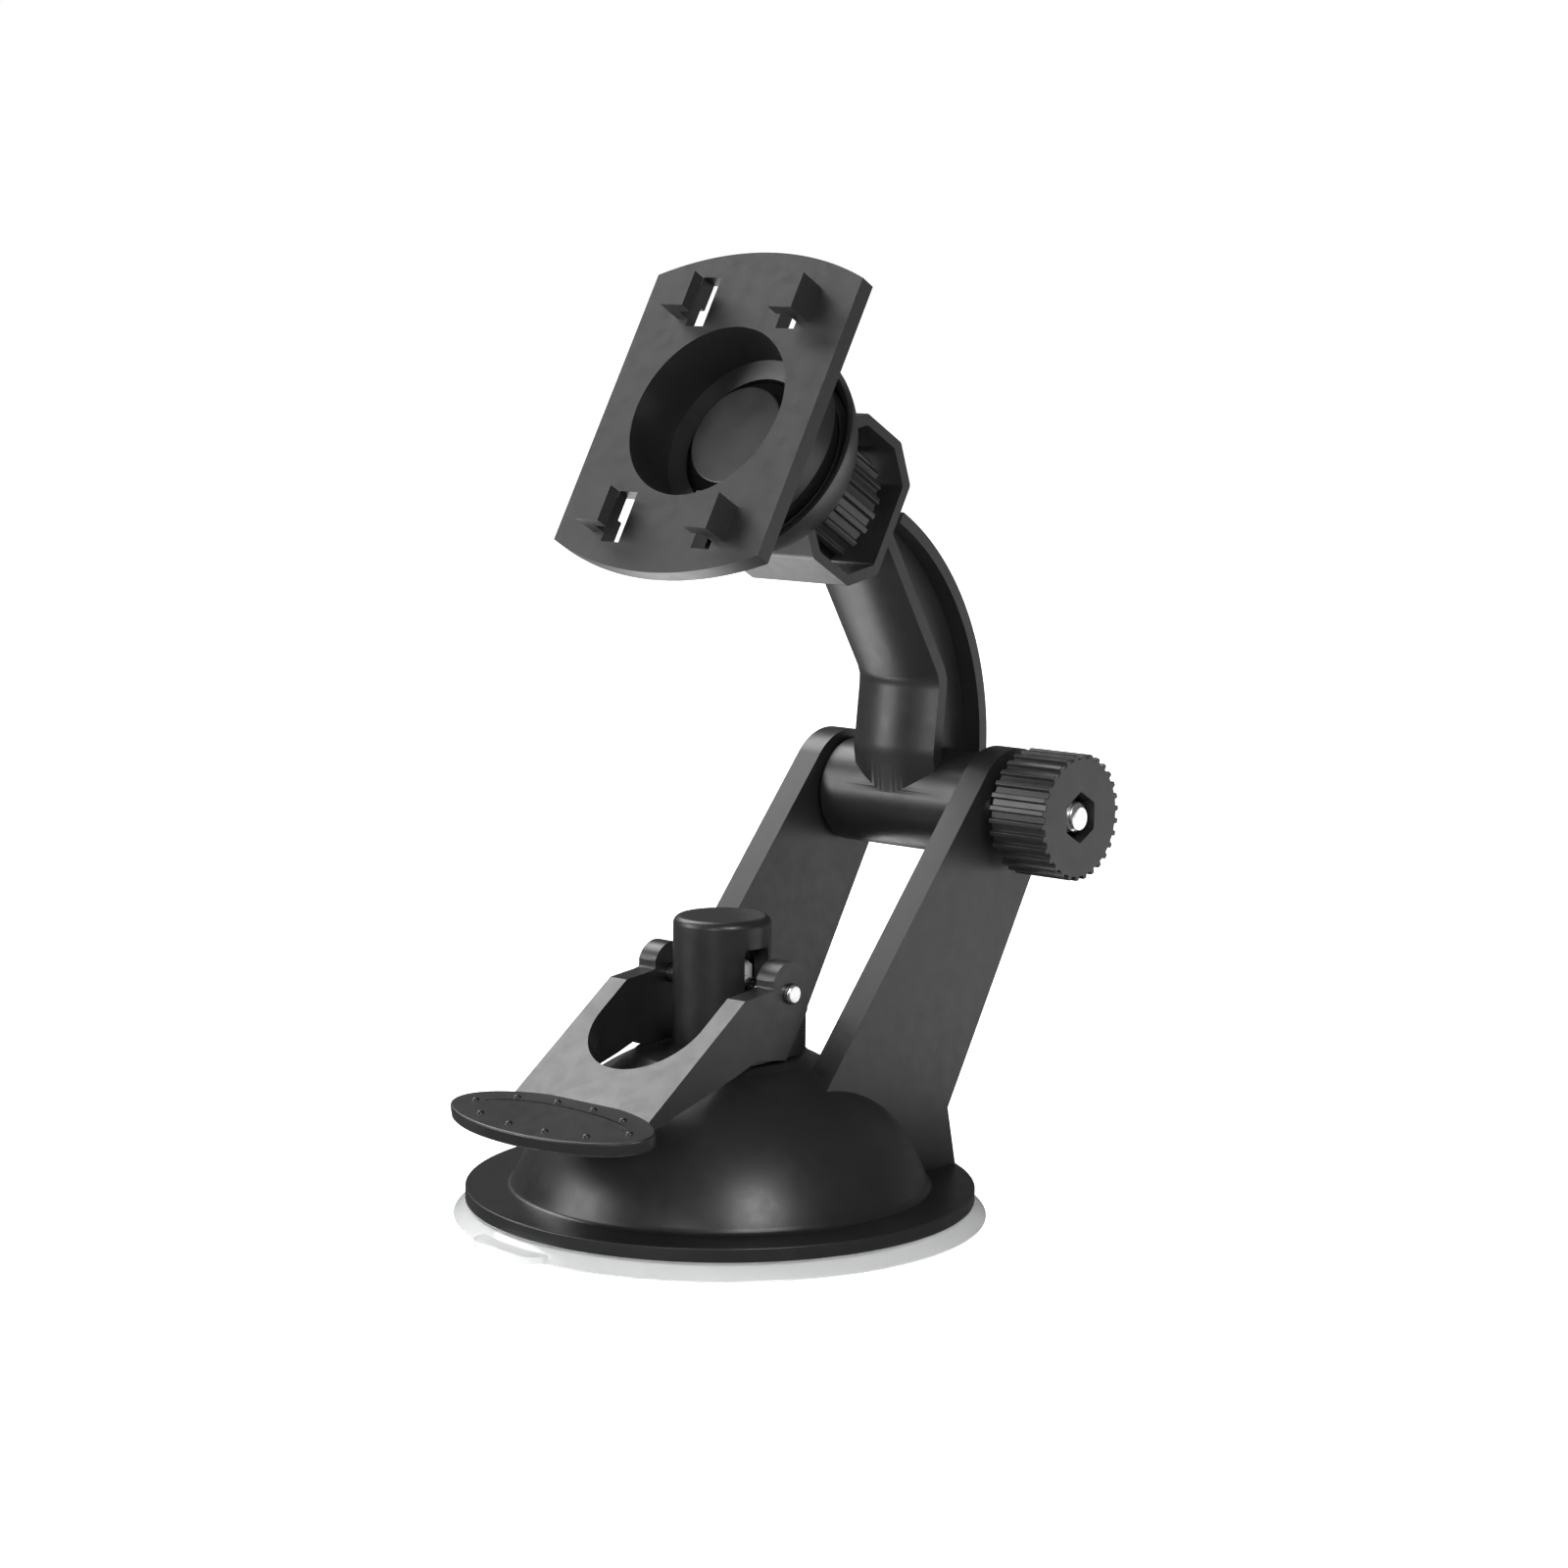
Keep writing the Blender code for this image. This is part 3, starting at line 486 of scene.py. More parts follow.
def grain(nodes, links, shader, sizes):
    """Stack bumps of several scales on the shader's normal."""
    last = None
    for scale, height, strength in sizes:
        bump = nodes.new("ShaderNodeBump")
        bump.inputs["Strength"].default_value = strength
        bump.inputs["Distance"].default_value = height * MM
        links.new(noise(nodes, links, scale).outputs["Fac"], bump.inputs["Height"])
        if last:
            links.new(last.outputs["Normal"], bump.inputs["Normal"])
        last = bump
    links.new(last.outputs["Normal"], shader.inputs["Normal"])


def moulded(name, shade, roughness, texture, specular=0.5):
    """Moulded plastic: faint flow marks in colour and gloss over a fine spark-eroded grain."""
    mat, nodes, links, shader = graph(name)
    flow = noise(nodes, links, 160.0, 5.0).outputs["Fac"]
    dark = (shade * 0.86, shade * 0.87, shade * 0.9)
    light = (shade * 1.12, shade * 1.12, shade * 1.14)
    links.new(tinted(nodes, links, flow, dark, light), shader.inputs["Base Color"])
    gloss = noise(nodes, links, 520.0, 6.0, 0.62).outputs["Fac"]
    links.new(spread(nodes, links, gloss, roughness - 0.04, roughness + 0.05), shader.inputs["Roughness"])
    shader.inputs["Specular IOR Level"].default_value = specular
    grain(nodes, links, shader, [(5200.0, 0.012, texture), (1500.0, 0.02, 0.5 * texture)])
    return mat


def metal(name, shade, roughness, streak):
    """Bright metal, a little uneven in colour and gloss."""
    mat, nodes, links, shader = graph(name)
    cloud = noise(nodes, links, 700.0).outputs["Fac"]
    dark = (shade * 0.9, shade * 0.9, shade * 0.91)
    links.new(tinted(nodes, links, cloud, dark, (shade, shade, shade * 1.01)), shader.inputs["Base Color"])
    gloss = noise(nodes, links, 2400.0).outputs["Fac"]
    links.new(spread(nodes, links, gloss, roughness - 0.05, roughness + 0.08), shader.inputs["Roughness"])
    shader.inputs["Metallic"].default_value = 1.0
    grain(nodes, links, shader, [(3800.0, 0.008, streak)])
    return mat


def clear_plastic(name):
    """Clear soft vinyl, a little cloudy."""
    mat, nodes, links, shader = graph(name)
    cloud = noise(nodes, links, 90.0, 3.0).outputs["Fac"]
    colour = tinted(nodes, links, cloud, (0.93, 0.945, 0.945), (0.985, 0.99, 0.99))
    links.new(colour, shader.inputs["Base Color"])
    gloss = noise(nodes, links, 300.0).outputs["Fac"]
    links.new(spread(nodes, links, gloss, 0.06, 0.14), shader.inputs["Roughness"])
    shader.inputs["IOR"].default_value = 1.46
    shader.inputs["Transmission Weight"].default_value = 0.5
    grain(nodes, links, shader, [(240.0, 0.02, 0.15)])
    return mat


BLACK = moulded("black_plastic", 0.012, 0.36, 0.16)
KNOB_BLACK = moulded("knob_plastic", 0.016, 0.38, 0.18)
WHEEL_BLACK = moulded("wheel_plastic", 0.01, 0.32, 0.15)
CLEAR = clear_plastic("clear_cup")
STEEL = metal("steel", 0.9, 0.22, 0.05)
SPRING_STEEL = metal("spring_steel", 0.5, 0.34, 0.2)
NYLON = moulded("nylon", 0.58, 0.5, 0.12)
RUBBER = moulded("rubber", 0.016, 0.8, 0.5, 0.3)


# ---------------------------------------------------------------- base and cup

def dome_arc(radius, from_radius, to_radius, steps):
    """Profile points up a sphere about the dome's centre, between two distances from the axis."""
    start = math.degrees(math.acos(from_radius / radius))
    end = math.degrees(math.acos(to_radius / radius))
    return arc((0.0, DOME_CENTRE_Z), radius, start, end, steps)


def arm(side):
    """A flat arm, wider at its foot, rounded about the hinge."""
    front_slope = 0.8537       # how far each edge runs back for every unit it rises
    rear_slope = 0.5746
    front_angle = math.degrees(math.atan2(front_slope, 1.0))
    rear_angle = math.degrees(math.atan2(rear_slope, 1.0))
    head = arc((HINGE_Y, HINGE_Z), ARM_HEAD, -rear_angle, 180.0 - front_angle, 56)
    foot = 3.0
    front_end = 8.0            # the front edge ends inside the dome
    rear_knee = (25.4, 11.3)
    tangent_y, tangent_z = head[-1]
    front_foot = (tangent_y + front_slope * (front_end - tangent_z), front_end)
    outline = head + [front_foot, (2.0, foot), (27.25, foot), (27.1, FLANGE_TOP), rear_knee]
    return prism(outline, "x", side * ARM_INNER, side * ARM_OUTER)


def base_housing():
    """Flange, dome, post and arms, hollow below, with the pin's slot and the hinge bolt's bores."""
    edge = 0.18
    post_round = 1.0
    outer = [(0.0, FLANGE_BOTTOM)]
    outer += arc((FLANGE_RADIUS - edge, FLANGE_BOTTOM + edge), edge, -90.0, 0.0, 5)
    outer += arc((FLANGE_RADIUS - edge, FLANGE_TOP - edge), edge, 0.0, 90.0, 5)
    outer += [(DOME_BASE_RADIUS + 0.5, FLANGE_TOP), (DOME_BASE_RADIUS + 0.15, FLANGE_TOP + 0.08)]
    outer += dome_arc(DOME_RADIUS, DOME_BASE_RADIUS - 0.12, LAND_RADIUS + 0.9, 46)
    outer += [(LAND_RADIUS + 0.35, LAND_Z - 0.2), (LAND_RADIUS, LAND_Z)]
    outer += arc((POST_RADIUS + post_round, LAND_Z + post_round), post_round, 270.0, 180.0, 7)
    outer += arc((POST_RADIUS - post_round, POST_TOP - post_round), post_round, 0.0, 90.0, 8)
    outer += [(0.0, POST_TOP)]
    inner = [(0.0, FLANGE_BOTTOM - 1.0), (24.0, FLANGE_BOTTOM - 1.0), (24.0, FLANGE_BOTTOM + 1.0)]
    inner += dome_arc(DOME_RADIUS - DOME_WALL, 22.4, 8.9, 24)
    inner += [(POST_BORE + 0.2, 19.6), (POST_BORE, 19.2), (POST_BORE, POST_BORE_TOP), (0.0, POST_BORE_TOP)]
    half = SLOT_WIDTH / 2.0
    slot_ends = rounded([(-half, SLOT_BOTTOM), (half, SLOT_BOTTOM), (half, SLOT_TOP), (-half, SLOT_TOP)], 0.5)
    hinge = Matrix.Translation((0.0, HINGE_Y, HINGE_Z))
    bore = moved(across_x(cylinder(BOLT_BORE, -ARM_OUTER - 1.0, ARM_OUTER + 1.0)), hinge)
    recess = cylinder(BOLT_HEAD_RADIUS + 0.25, -ARM_OUTER - 1.0, -ARM_OUTER + BOLT_HEAD_DEPTH + 0.2)
    steps = [join(arm(-1)), join(arm(1)), cut(turned(inner)),
             cut(prism(slot_ends, "x", -POST_RADIUS - 2.0, POST_RADIUS + 2.0)), cut(bore),
             cut(moved(across_x(recess), hinge))]
    piece("mount_base", turned(outer), AT_CUP, steps, BLACK, "base", ["base_housing"], 0.28)


def suction_cup():
    """Clear cup with a thin lip and a pull tab, drawn up in the middle."""
    top = [(0.0, DISC_BOTTOM - 0.3), (12.0, DISC_BOTTOM - 0.3), (14.5, 4.95), (17.0, 4.25), (19.0, 3.35),
           (21.0, 2.5), (22.5, 2.0), (24.0, 1.72), (CUP_RADIUS - 1.85, 1.7), (CUP_RADIUS - 1.6, 1.6),
           (CUP_RADIUS - 0.06, 0.32), (CUP_RADIUS, 0.2), (CUP_RADIUS - 0.05, 0.06), (CUP_RADIUS - 0.2, 0.0)]
    under = [(24.0, 0.0), (22.0, 0.3), (20.0, 0.8), (17.5, 1.55), (15.0, 2.3), (12.5, 2.8), (10.0, 3.1),
             (0.0, 3.3)]
    half = 6.2
    root = 29.0
    reach = 34.28
    tab_turn = 172.0           # the tab points almost straight forward
    outline = [(-half, root), (half, root), (half, reach), (-half, reach)]
    tab = prism(rounded(outline, 2.6, 8), "z", 0.14, 1.03)
    tab = moved(tab, Matrix.Rotation(math.radians(tab_turn), 4, "Z"))
    cup = piece("clear_suction_cup", turned(top + under), AT_CUP, [join(tab)], CLEAR, "base",
                ["suction_cup"], 0.12)
    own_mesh(cup)


def cup_stem():
    """Disc bonded to the cup, and the stem that the pin pulls on."""
    profile = [(0.0, DISC_BOTTOM), (DISC_RADIUS - 0.5, DISC_BOTTOM), (DISC_RADIUS, DISC_BOTTOM + 0.5),
               (DISC_RADIUS - 0.6, DISC_TOP - 0.4), (STEM_RADIUS + 0.8, DISC_TOP),
               (STEM_RADIUS + 0.2, DISC_TOP + 0.2), (STEM_RADIUS, DISC_TOP + 0.8),
               (STEM_RADIUS, STEM_TOP - 0.5), (STEM_RADIUS - 0.5, STEM_TOP),
               (0.0, STEM_TOP)]
    hole = across_x(cylinder(PIN_RADIUS + 0.06, -STEM_RADIUS - 1.0, STEM_RADIUS + 1.0))
    hole = moved(hole, Matrix.Translation((0.0, 0.0, PIN_Z)))
    piece("pull_stem", turned(profile), AT_CUP, [cut(hole)], NYLON, "stem", ["cup_stem"], 0.1)


def return_spring():
    """Round-wire spring whose first and last turns lie flat."""
    coil_radius = 5.6
    wire = 0.38
    low = DISC_TOP + 0.3 + wire
    high = 18.3
    turns = 4.5
    per_turn = 48
    sides = 14
    count = int(turns * per_turn)
    loops = []
    for i in range(count + 1):
        angle = 2.0 * math.pi * i / per_turn
        climb = min(max((i / per_turn - 0.6) / (turns - 1.2), 0.0), 1.0)
        z = low + (high - low) * climb
        centre = Vector((coil_radius * math.cos(angle), coil_radius * math.sin(angle), z))
        out = Vector((math.cos(angle), math.sin(angle), 0.0))
        loop = []
        for k in range(sides):
            turn = 2.0 * math.pi * k / sides
            loop.append(centre + out * (wire * math.cos(turn)) + Vector((0.0, 0.0, wire * math.sin(turn))))
        loops.append(loop)
    spring = piece("lift_spring", lofted(loops), AT_CUP, [], SPRING_STEEL, None,
                   ["return_spring"], 0.0)
    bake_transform(spring)


# ---------------------------------------------------------------- lever

def pad_body():
    """Oval pad with a rounded rim."""
    corner = 0.28
    layers = [(-PAD_THICKNESS, 0.55), (-PAD_THICKNESS + 0.12, 0.3), (-PAD_THICKNESS + 0.4, 0.06)]
    layers += [(-corner + corner * math.sin(math.radians(a)), corner - corner * math.cos(math.radians(a)))
               for a in range(0, 91, 15)]
    sides = 160
    loops = []
    for z, inset in layers:
        loop = []
        for i in range(sides):
            angle = 2.0 * math.pi * i / sides
            x = (PAD_HALF_LENGTH - inset) * math.cos(angle)
            y = (PAD_HALF_WIDTH - inset) * math.sin(angle)
            loop.append((x, y, z))
        loops.append(loop)
    return lofted(loops)


def pad_groove():
    """Cutter for the engraved line along the rear half of the pad."""
    floor = -0.2
    clear = 0.5
    loops = []
    steps = 48
    for i in range(steps + 1):
        angle = math.radians(172.0 - 164.0 * i / steps)
        centre = Vector((GROOVE_HALF_LENGTH * math.cos(angle), GROOVE_HALF_WIDTH * math.sin(angle)))
        out = Vector((math.cos(angle) / GROOVE_HALF_LENGTH, math.sin(angle) / GROOVE_HALF_WIDTH)).normalized()
        near = centre - out * (GROOVE_WIDTH / 2.0)
        far = centre + out * (GROOVE_WIDTH / 2.0)
        loops.append([(*near, floor), (*far, floor), (*far, clear), (*near, clear)])
    return lofted(loops)


def stud(x, y):
    """Low round stud, rooted in the pad."""
    high = 0.32
    root = -0.4
    profile = [(0.0, root), (STUD_RADIUS, root)]
    for slope in (0, 25, 50, 70):
        angle = math.radians(slope)
        profile.append((STUD_RADIUS * math.cos(angle), high * math.sin(angle)))
    profile += [(0.0, high)]
    return moved(turned(profile, 28), Matrix.Translation((x, y, 0.0)))


def release_lever():
    """Two cheeks with cams under the pin, joined by a sloping plate that ends in the thumb pad."""
    low_edge = Vector((-25.16, 17.15))
    high_edge = Vector((-8.2, 29.2))
    ear = arc((-0.1, 29.72), 3.15, 160.0, -5.0, 26)
    side = [tuple(low_edge), tuple(high_edge), (-3.9, 29.63), (-3.05, 29.8)] + ear
    side += [(3.25, 26.5), (-0.68, 20.83), (-5.55, 21.5), (-6.26, 21.45), (-9.78, 20.24), (-24.3, 16.1)]
    run = (high_edge - low_edge).normalized()
    below = Vector((run.y, -run.x)) * LEVER_PLATE
    low = low_edge + below + run * 1.6
    high = high_edge + below + run * 6.0
    channel = [tuple(low), tuple(high), (6.5, PIN_Z + 4.5), (6.5, 14.5), (low.x, 9.0)]
    centre = low_edge + run * CUTOUT_UP_SLOPE
    mouth = arc((0.0, 0.0), LEVER_INNER, 180.0, 360.0, 40) + [(LEVER_INNER, 24.0), (-LEVER_INNER, 24.0)]
    slope = math.atan2(run.y, run.x)
    mouth = prism(mouth, "z", -9.0, 9.0)
    mouth = moved(mouth, Matrix.Translation((0.0, centre.x, centre.y)) @ Matrix.Rotation(slope, 4, "X"))
    lobe = [(4.6, 26.4), (4.6, 21.4), (3.9, 20.62), (-5.4, 20.62), (-6.2, 21.4), (-4.6, 28.9), (1.6, 29.6)]
    pad_place = Matrix.Translation((0.0, PAD_Y, PAD_Z)) @ Matrix.Rotation(math.radians(PAD_TILT), 4, "X")
    pin_bore = across_x(cylinder(PIN_RADIUS + 0.07, -LEVER_HALF - 1.0, LEVER_HALF + 1.0))
    steps = [cut(prism(channel, "x", -LEVER_INNER, LEVER_INNER)), cut(mouth)]
    for sign in (-1, 1):
        steps.append(join(prism(rounded(lobe, 0.8), "x", sign * (LEVER_INNER + 0.01), sign * CAM_OUTER)))
    steps.append(cut(moved(pin_bore, Matrix.Translation((0.0, 0.0, PIN_Z)))))
    steps.append(join(moved(pad_body(), pad_place)))
    steps.append(cut(moved(pad_groove(), pad_place)))
    for x, y in STUDS:
        for place in sorted({(x, y), (-x, y), (x, -y), (-x, -y)}):
            steps.append(join(moved(stud(*place), pad_place)))
    body = prism(rounded(side, 0.3, 3), "x", -LEVER_HALF, LEVER_HALF)
    piece("thumb_lever", body, AT_CUP, steps, BLACK, "lever", ["release_lever"], 0.22)


def lever_pin():
    """Straight pin, chamfered at both ends."""
    chamfer = 0.2
    profile = [(0.0, -PIN_HALF), (PIN_RADIUS - chamfer, -PIN_HALF), (PIN_RADIUS, -PIN_HALF + chamfer),
               (PIN_RADIUS, PIN_HALF - chamfer), (PIN_RADIUS - chamfer, PIN_HALF), (0.0, PIN_HALF)]
    pin = across_x(turned(profile, SMALL))
    piece("pivot_pin", pin, AT_PIN, [], STEEL, "stem", ["lever_pin"], 0.05)


# ---------------------------------------------------------------- neck

def octagon(shrink):
    """Outline of the thumbwheel frame in the ball joint's y and z, moved in by shrink."""
    half = FRAME_HALF_HEIGHT - shrink
    front = FRAME_FRONT_Z - shrink
    back = FRAME_BACK_Z + shrink
    corner_y = FRAME_CHAMFER_Y - 0.4 * shrink
    corner_z = FRAME_CHAMFER_Z - 0.4 * shrink
    flat = half - corner_y
    return [(flat, front), (half, front - corner_z), (half, back + corner_z), (flat, back),
            (-flat, back), (-half, back + corner_z), (-half, front - corner_z), (-flat, front)]


def neck_front_skin():
    """Crowned front skin, swept down a path with one soft bend."""
    path = [Vector((22.0, 83.3)), Vector((33.2, 65.1)), Vector((33.62, 64.0)), Vector((33.6, 62.8)),
            Vector((32.75, 55.3)), Vector((32.7, 54.2)), Vector((33.6, 49.0))]
    section = []
    across = 24
    for i in range(across + 1):
        x = -NECK_HALF + 2.0 * NECK_HALF * i / across
        section.append((x, NECK_BULGE * (1.0 - (x / NECK_HALF) ** 2)))
    section += [(NECK_HALF, -NECK_SKIN), (-NECK_HALF, -NECK_SKIN)]
    loops = []
    for i, point in enumerate(path):
        before = (point - path[max(i - 1, 0)]).normalized() if i else (path[1] - point).normalized()
        after = (path[i + 1] - point).normalized() if i + 1 < len(path) else before
        along = (before + after).normalized()
        outward = Vector((along.y, -along.x)) / max(along.dot(before), 0.5)
        loops.append([(x, point.x + outward.x * d, point.y + outward.y * d) for x, d in section])
    return lofted(loops)


def neck_rear_flange():
    """Curved rear flange, as wide as the neck."""
    inner = REAR_ARC_RADIUS - REAR_FLANGE
    half = [(NECK_HALF, inner), (NECK_HALF, REAR_ARC_RADIUS)]
    section = half + [(-x, r) for x, r in reversed(half)]
    centre_y, centre_z = REAR_ARC
    first = -9.0
    span = 69.5
    loops = []
    steps = 56
    for i in range(steps + 1):
        angle = math.radians(first + span * i / steps)
        cos = math.cos(angle)
        sin = math.sin(angle)
        loops.append([(x, centre_y + r * cos, centre_z + r * sin) for x, r in section])
    return lofted(loops)


def neck():
    """Barrel, web, skins, thumbwheel frame and bowl, drawn in the ball joint's frame."""
    to_ball = AT_BALL.inverted() @ AT_CUP
    outer = arc(REAR_ARC, REAR_ARC_RADIUS - 0.6, -7.0, 60.5, 48)
    web = outer + [(20.9, 82.8), (22.7, 82.6), (34.5, 63.8), (33.4, 54.5), (34.4, 48.0), (40.5, 46.0)]
    hinge = Matrix.Translation((0.0, HINGE_Y, HINGE_Z))
    barrel = moved(across_x(cylinder(BARREL_RADIUS, -BARREL_HALF, BARREL_HALF, ROUND)), hinge)
    bore = moved(across_x(cylinder(BOLT_BORE, -BARREL_HALF - 1.0, BARREL_HALF + 1.0)), hinge)
    rim = math.sqrt(BOWL_OUTER ** 2 - BOWL_RIM_Z ** 2)
    outer_angle = math.degrees(math.acos(-BOWL_RIM_Z / BOWL_OUTER))
    back_angle = math.degrees(math.acos(-BOWL_BACK_Z / BOWL_OUTER))
    bowl = [(0.0, BOWL_BACK_Z)] + shell_arc(BOWL_OUTER, back_angle, outer_angle, 28)
    bowl += [(rim - 3.0, BOWL_RIM_Z), (0.0, BOWL_FLOOR_Z)]
    floor_angle = math.degrees(math.acos(-BOWL_FLOOR_Z / BOWL_INNER))
    rim_angle = math.degrees(math.acos((0.5 - BOWL_RIM_Z) / BOWL_INNER))
    hollow = [(0.0, BOWL_FLOOR_Z)] + shell_arc(BOWL_INNER, floor_angle, rim_angle, 28)
    hollow += [(13.5, BOWL_RIM_Z + 0.01), (13.5, 2.0), (0.0, 2.0)]
    steps = [join(moved(prism(web, "x", -WEB_HALF, WEB_HALF), to_ball)),
             join(moved(neck_front_skin(), to_ball)),
             join(moved(neck_rear_flange(), to_ball)), join(moved(barrel, to_ball)),
             cut(prism(rounded(octagon(FRAME_WALL), 0.8), "x", -WINDOW_HALF - 8.0, WINDOW_HALF + 8.0)),
             join(turned(bowl)), cut(turned(hollow)),
             cut(prism(flatted(SHANK_RADIUS + 0.15, SHANK_FLAT + 0.15), "z", -15.0, -9.0)),
             cut(moved(bore, to_ball))]
    body = prism(rounded(octagon(0.0), 0.9), "x", -WINDOW_HALF, WINDOW_HALF)
    piece("tilting_neck", body, AT_BALL, steps, BLACK, "neck_arm", ["neck"], 0.22)


# ---------------------------------------------------------------- fastenings

def threaded(profile_low, start, end, radius, pitch):
    """Shank with a helical V thread from start to end, closed by the profile's points below start."""
    depth = 0.55 * pitch
    taper_length = 0.45
    taper_depth = 0.35
    sides = 48
    per_pitch = 10
    loops = []
    for r, z in profile_low:
        loops.append([(r * math.cos(2.0 * math.pi * i / sides), r * math.sin(2.0 * math.pi * i / sides), z)
                      for i in range(sides)])
    count = int((end - start) / pitch * per_pitch)
    for k in range(count + 1):
        z = start + (end - start) * k / count
        fade = min(1.0, (z - start) / pitch)
        tip = max(0.0, 1.0 - (end - z) / taper_length)
        loop = []
        for i in range(sides):
            phase = (z / pitch - i / sides) % 1.0
            ridge = min(1.0, 2.4 * abs(phase - 0.5))
            r = radius - depth * fade * (1.0 - ridge) - taper_depth * tip
            angle = 2.0 * math.pi * i / sides
            loop.append((r * math.cos(angle), r * math.sin(angle), z))
        loops.append(loop)
    return lofted(loops)


def hinge_bolt():
    """Pan-head bolt with a cross recess; its tip shows in the knob's mouth."""
    head_face = -ARM_OUTER + 0.1
    shoulder = -ARM_OUTER + BOLT_HEAD_DEPTH
    head = [(BOLT_HEAD_RADIUS - 0.9, head_face), (BOLT_HEAD_RADIUS - 0.35, head_face + 0.16),
            (BOLT_HEAD_RADIUS, head_face + 0.7), (BOLT_HEAD_RADIUS, shoulder), (BOLT_RADIUS, shoulder),
            (BOLT_RADIUS, 13.0)]
    cross = []
    for turn in (0.0, 90.0):
        bar = block((-2.0, -0.42, head_face - 1.0), (2.0, 0.42, head_face + 1.1))
        cross.append(cut(moved(bar, Matrix.Rotation(math.radians(turn), 4, "Z"))))
    bolt = threaded(head, 13.1, BOLT_END - INSET, BOLT_RADIUS, BOLT_PITCH)
    piece("pivot_bolt", bolt, AT_HINGE, cross, STEEL, "base", ["hinge_bolt"], 0.0)


def hex_nut(name, node, at, low, high, body):
    """Chamfered hexagon nut with a countersunk bore."""
    crown = NUT_FLATS / math.sqrt(3.0)
    chamfer = 0.35
    cone = turned([(0.0, low - 0.01), (crown - chamfer, low - 0.01), (crown + 0.05, low + chamfer),
                   (crown + 0.05, high - chamfer), (crown - chamfer, high + 0.01), (0.0, high + 0.01)])
    bore = BOLT_RADIUS + 0.06
    hole = turned([(0.0, low - 0.5), (bore + 0.7, low - 0.5), (bore, low + 0.3), (bore, high - 0.3),
                   (bore + 0.7, high + 0.5), (0.0, high + 0.5)], SMALL)
    steps = [("INTERSECT", cone), cut(hole)]
    piece(name, prism(hexagon(NUT_FLATS), "z", low, high), at, steps, STEEL, body, [node], 0.0)


def washer(name, node, at, inner, outer, low, high, mat, slot, body):
    piece(name, ring(inner, outer, low, high), at, [], mat, body, [node], 0.0)


def knurl(crest, depth, teeth, shares):
    """Rim outline of flat-topped ribs, each with the given shares of its pitch."""
    points = []
    pitch = 360.0 / teeth
    foot, rise, fall = shares
    for i in range(teeth):
        points += arc((0.0, 0.0), crest - depth, pitch * i, pitch * (i + foot), 3)
        points += arc((0.0, 0.0), crest, pitch * (i + rise), pitch * (i + fall), 3)
    return points


def ribbed(crest, depth, teeth, shares, low, high, chamfer):
    """Ribbed cylinder whose ribs are chamfered at both ends."""
    loops = []
    for z, cut_back in ((low, chamfer), (low + chamfer, 0.0), (high - chamfer, 0.0), (high, chamfer)):
        loops.append([(x, y, z) for x, y in knurl(crest - cut_back, depth, teeth, shares)])
    return lofted(loops)


def clamp_knob():
    """Ribbed knob with a collar, a nut pocket inside and a hexagonal mouth."""
    rim = ribbed(KNOB_RADIUS, KNOB_RIB, KNOB_TEETH, RIB_SHARES, KNOB_INNER, KNOB_OUTER - INSET, 0.06)
    mouth = rounded(hexagon(KNOB_MOUTH_FLATS), 0.25, 3)
    steps = [join(cylinder(KNOB_COLLAR_RADIUS, KNOB_COLLAR, KNOB_INNER + 0.5, ROUND)),
             cut(prism(hexagon(NUT_FLATS + 0.25), "z", KNOB_COLLAR - 1.0, KNOB_SEAT)),
             cut(prism(mouth, "z", KNOB_SEAT - 1.0, KNOB_OUTER + 1.0))]
    piece("ribbed_knob", rim, AT_HINGE, steps, KNOB_BLACK, "knob", ["clamp_knob"], 0.07)


def thumbwheel():
    """Ribbed wheel, recessed for a washer in front and a nut behind."""
    rim = ribbed(WHEEL_RADIUS, WHEEL_RIB, WHEEL_TEETH, RIB_SHARES, WHEEL_BACK, WHEEL_FRONT, 0.12)
    steps = [cut(cylinder(WHEEL_WASHER[1] + 0.2, WHEEL_FRONT - WASHER_POCKET, WHEEL_FRONT + 1.0, ROUND)),
             cut(prism(hexagon(NUT_FLATS + 0.3), "z", WHEEL_BACK - 1.0, WHEEL_BACK + NUT_POCKET)),
             cut(cylinder(BOLT_RADIUS + 0.2, WHEEL_BACK - 2.0, WHEEL_FRONT + 2.0))]
    piece("ribbed_wheel", rim, AT_BALL, steps, WHEEL_BLACK, "wheel", ["thumbwheel"], 0.07)


# ---------------------------------------------------------------- ball joint and plate

def ball_head():
    """Flat-faced ball on a flatted shank, hollowed for its bolt."""
    lowest = math.degrees(math.asin(SHANK_RADIUS * 0.5 / BALL_RADIUS))
    profile = [(0.0, -BALL_RADIUS)] + shell_arc(BALL_RADIUS, lowest, 78.0, 40)
    profile += [(BALL_FACE_RADIUS + 0.2, -0.5), (BALL_FACE_RADIUS, BALL_FACE_Z - 0.3),
                (BALL_FACE_RADIUS - 0.08, BALL_FACE_Z - 0.08), (BALL_FACE_RADIUS - 0.3, BALL_FACE_Z),
                (0.0, BALL_FACE_Z)]
    shank = prism(flatted(SHANK_RADIUS, SHANK_FLAT), "z", BOWL_BACK_Z + 0.15, -7.0)
    steps = [join(shank), cut(prism(hexagon(7.3), "z", -4.4, -1.2)),
             cut(cylinder(BOLT_RADIUS + 0.15, BOWL_BACK_Z - 1.0, -3.0))]
    piece("joint_ball", turned(profile), AT_BALL, steps, BLACK, "neck_arm",
          ["ball_head"], 0.1)


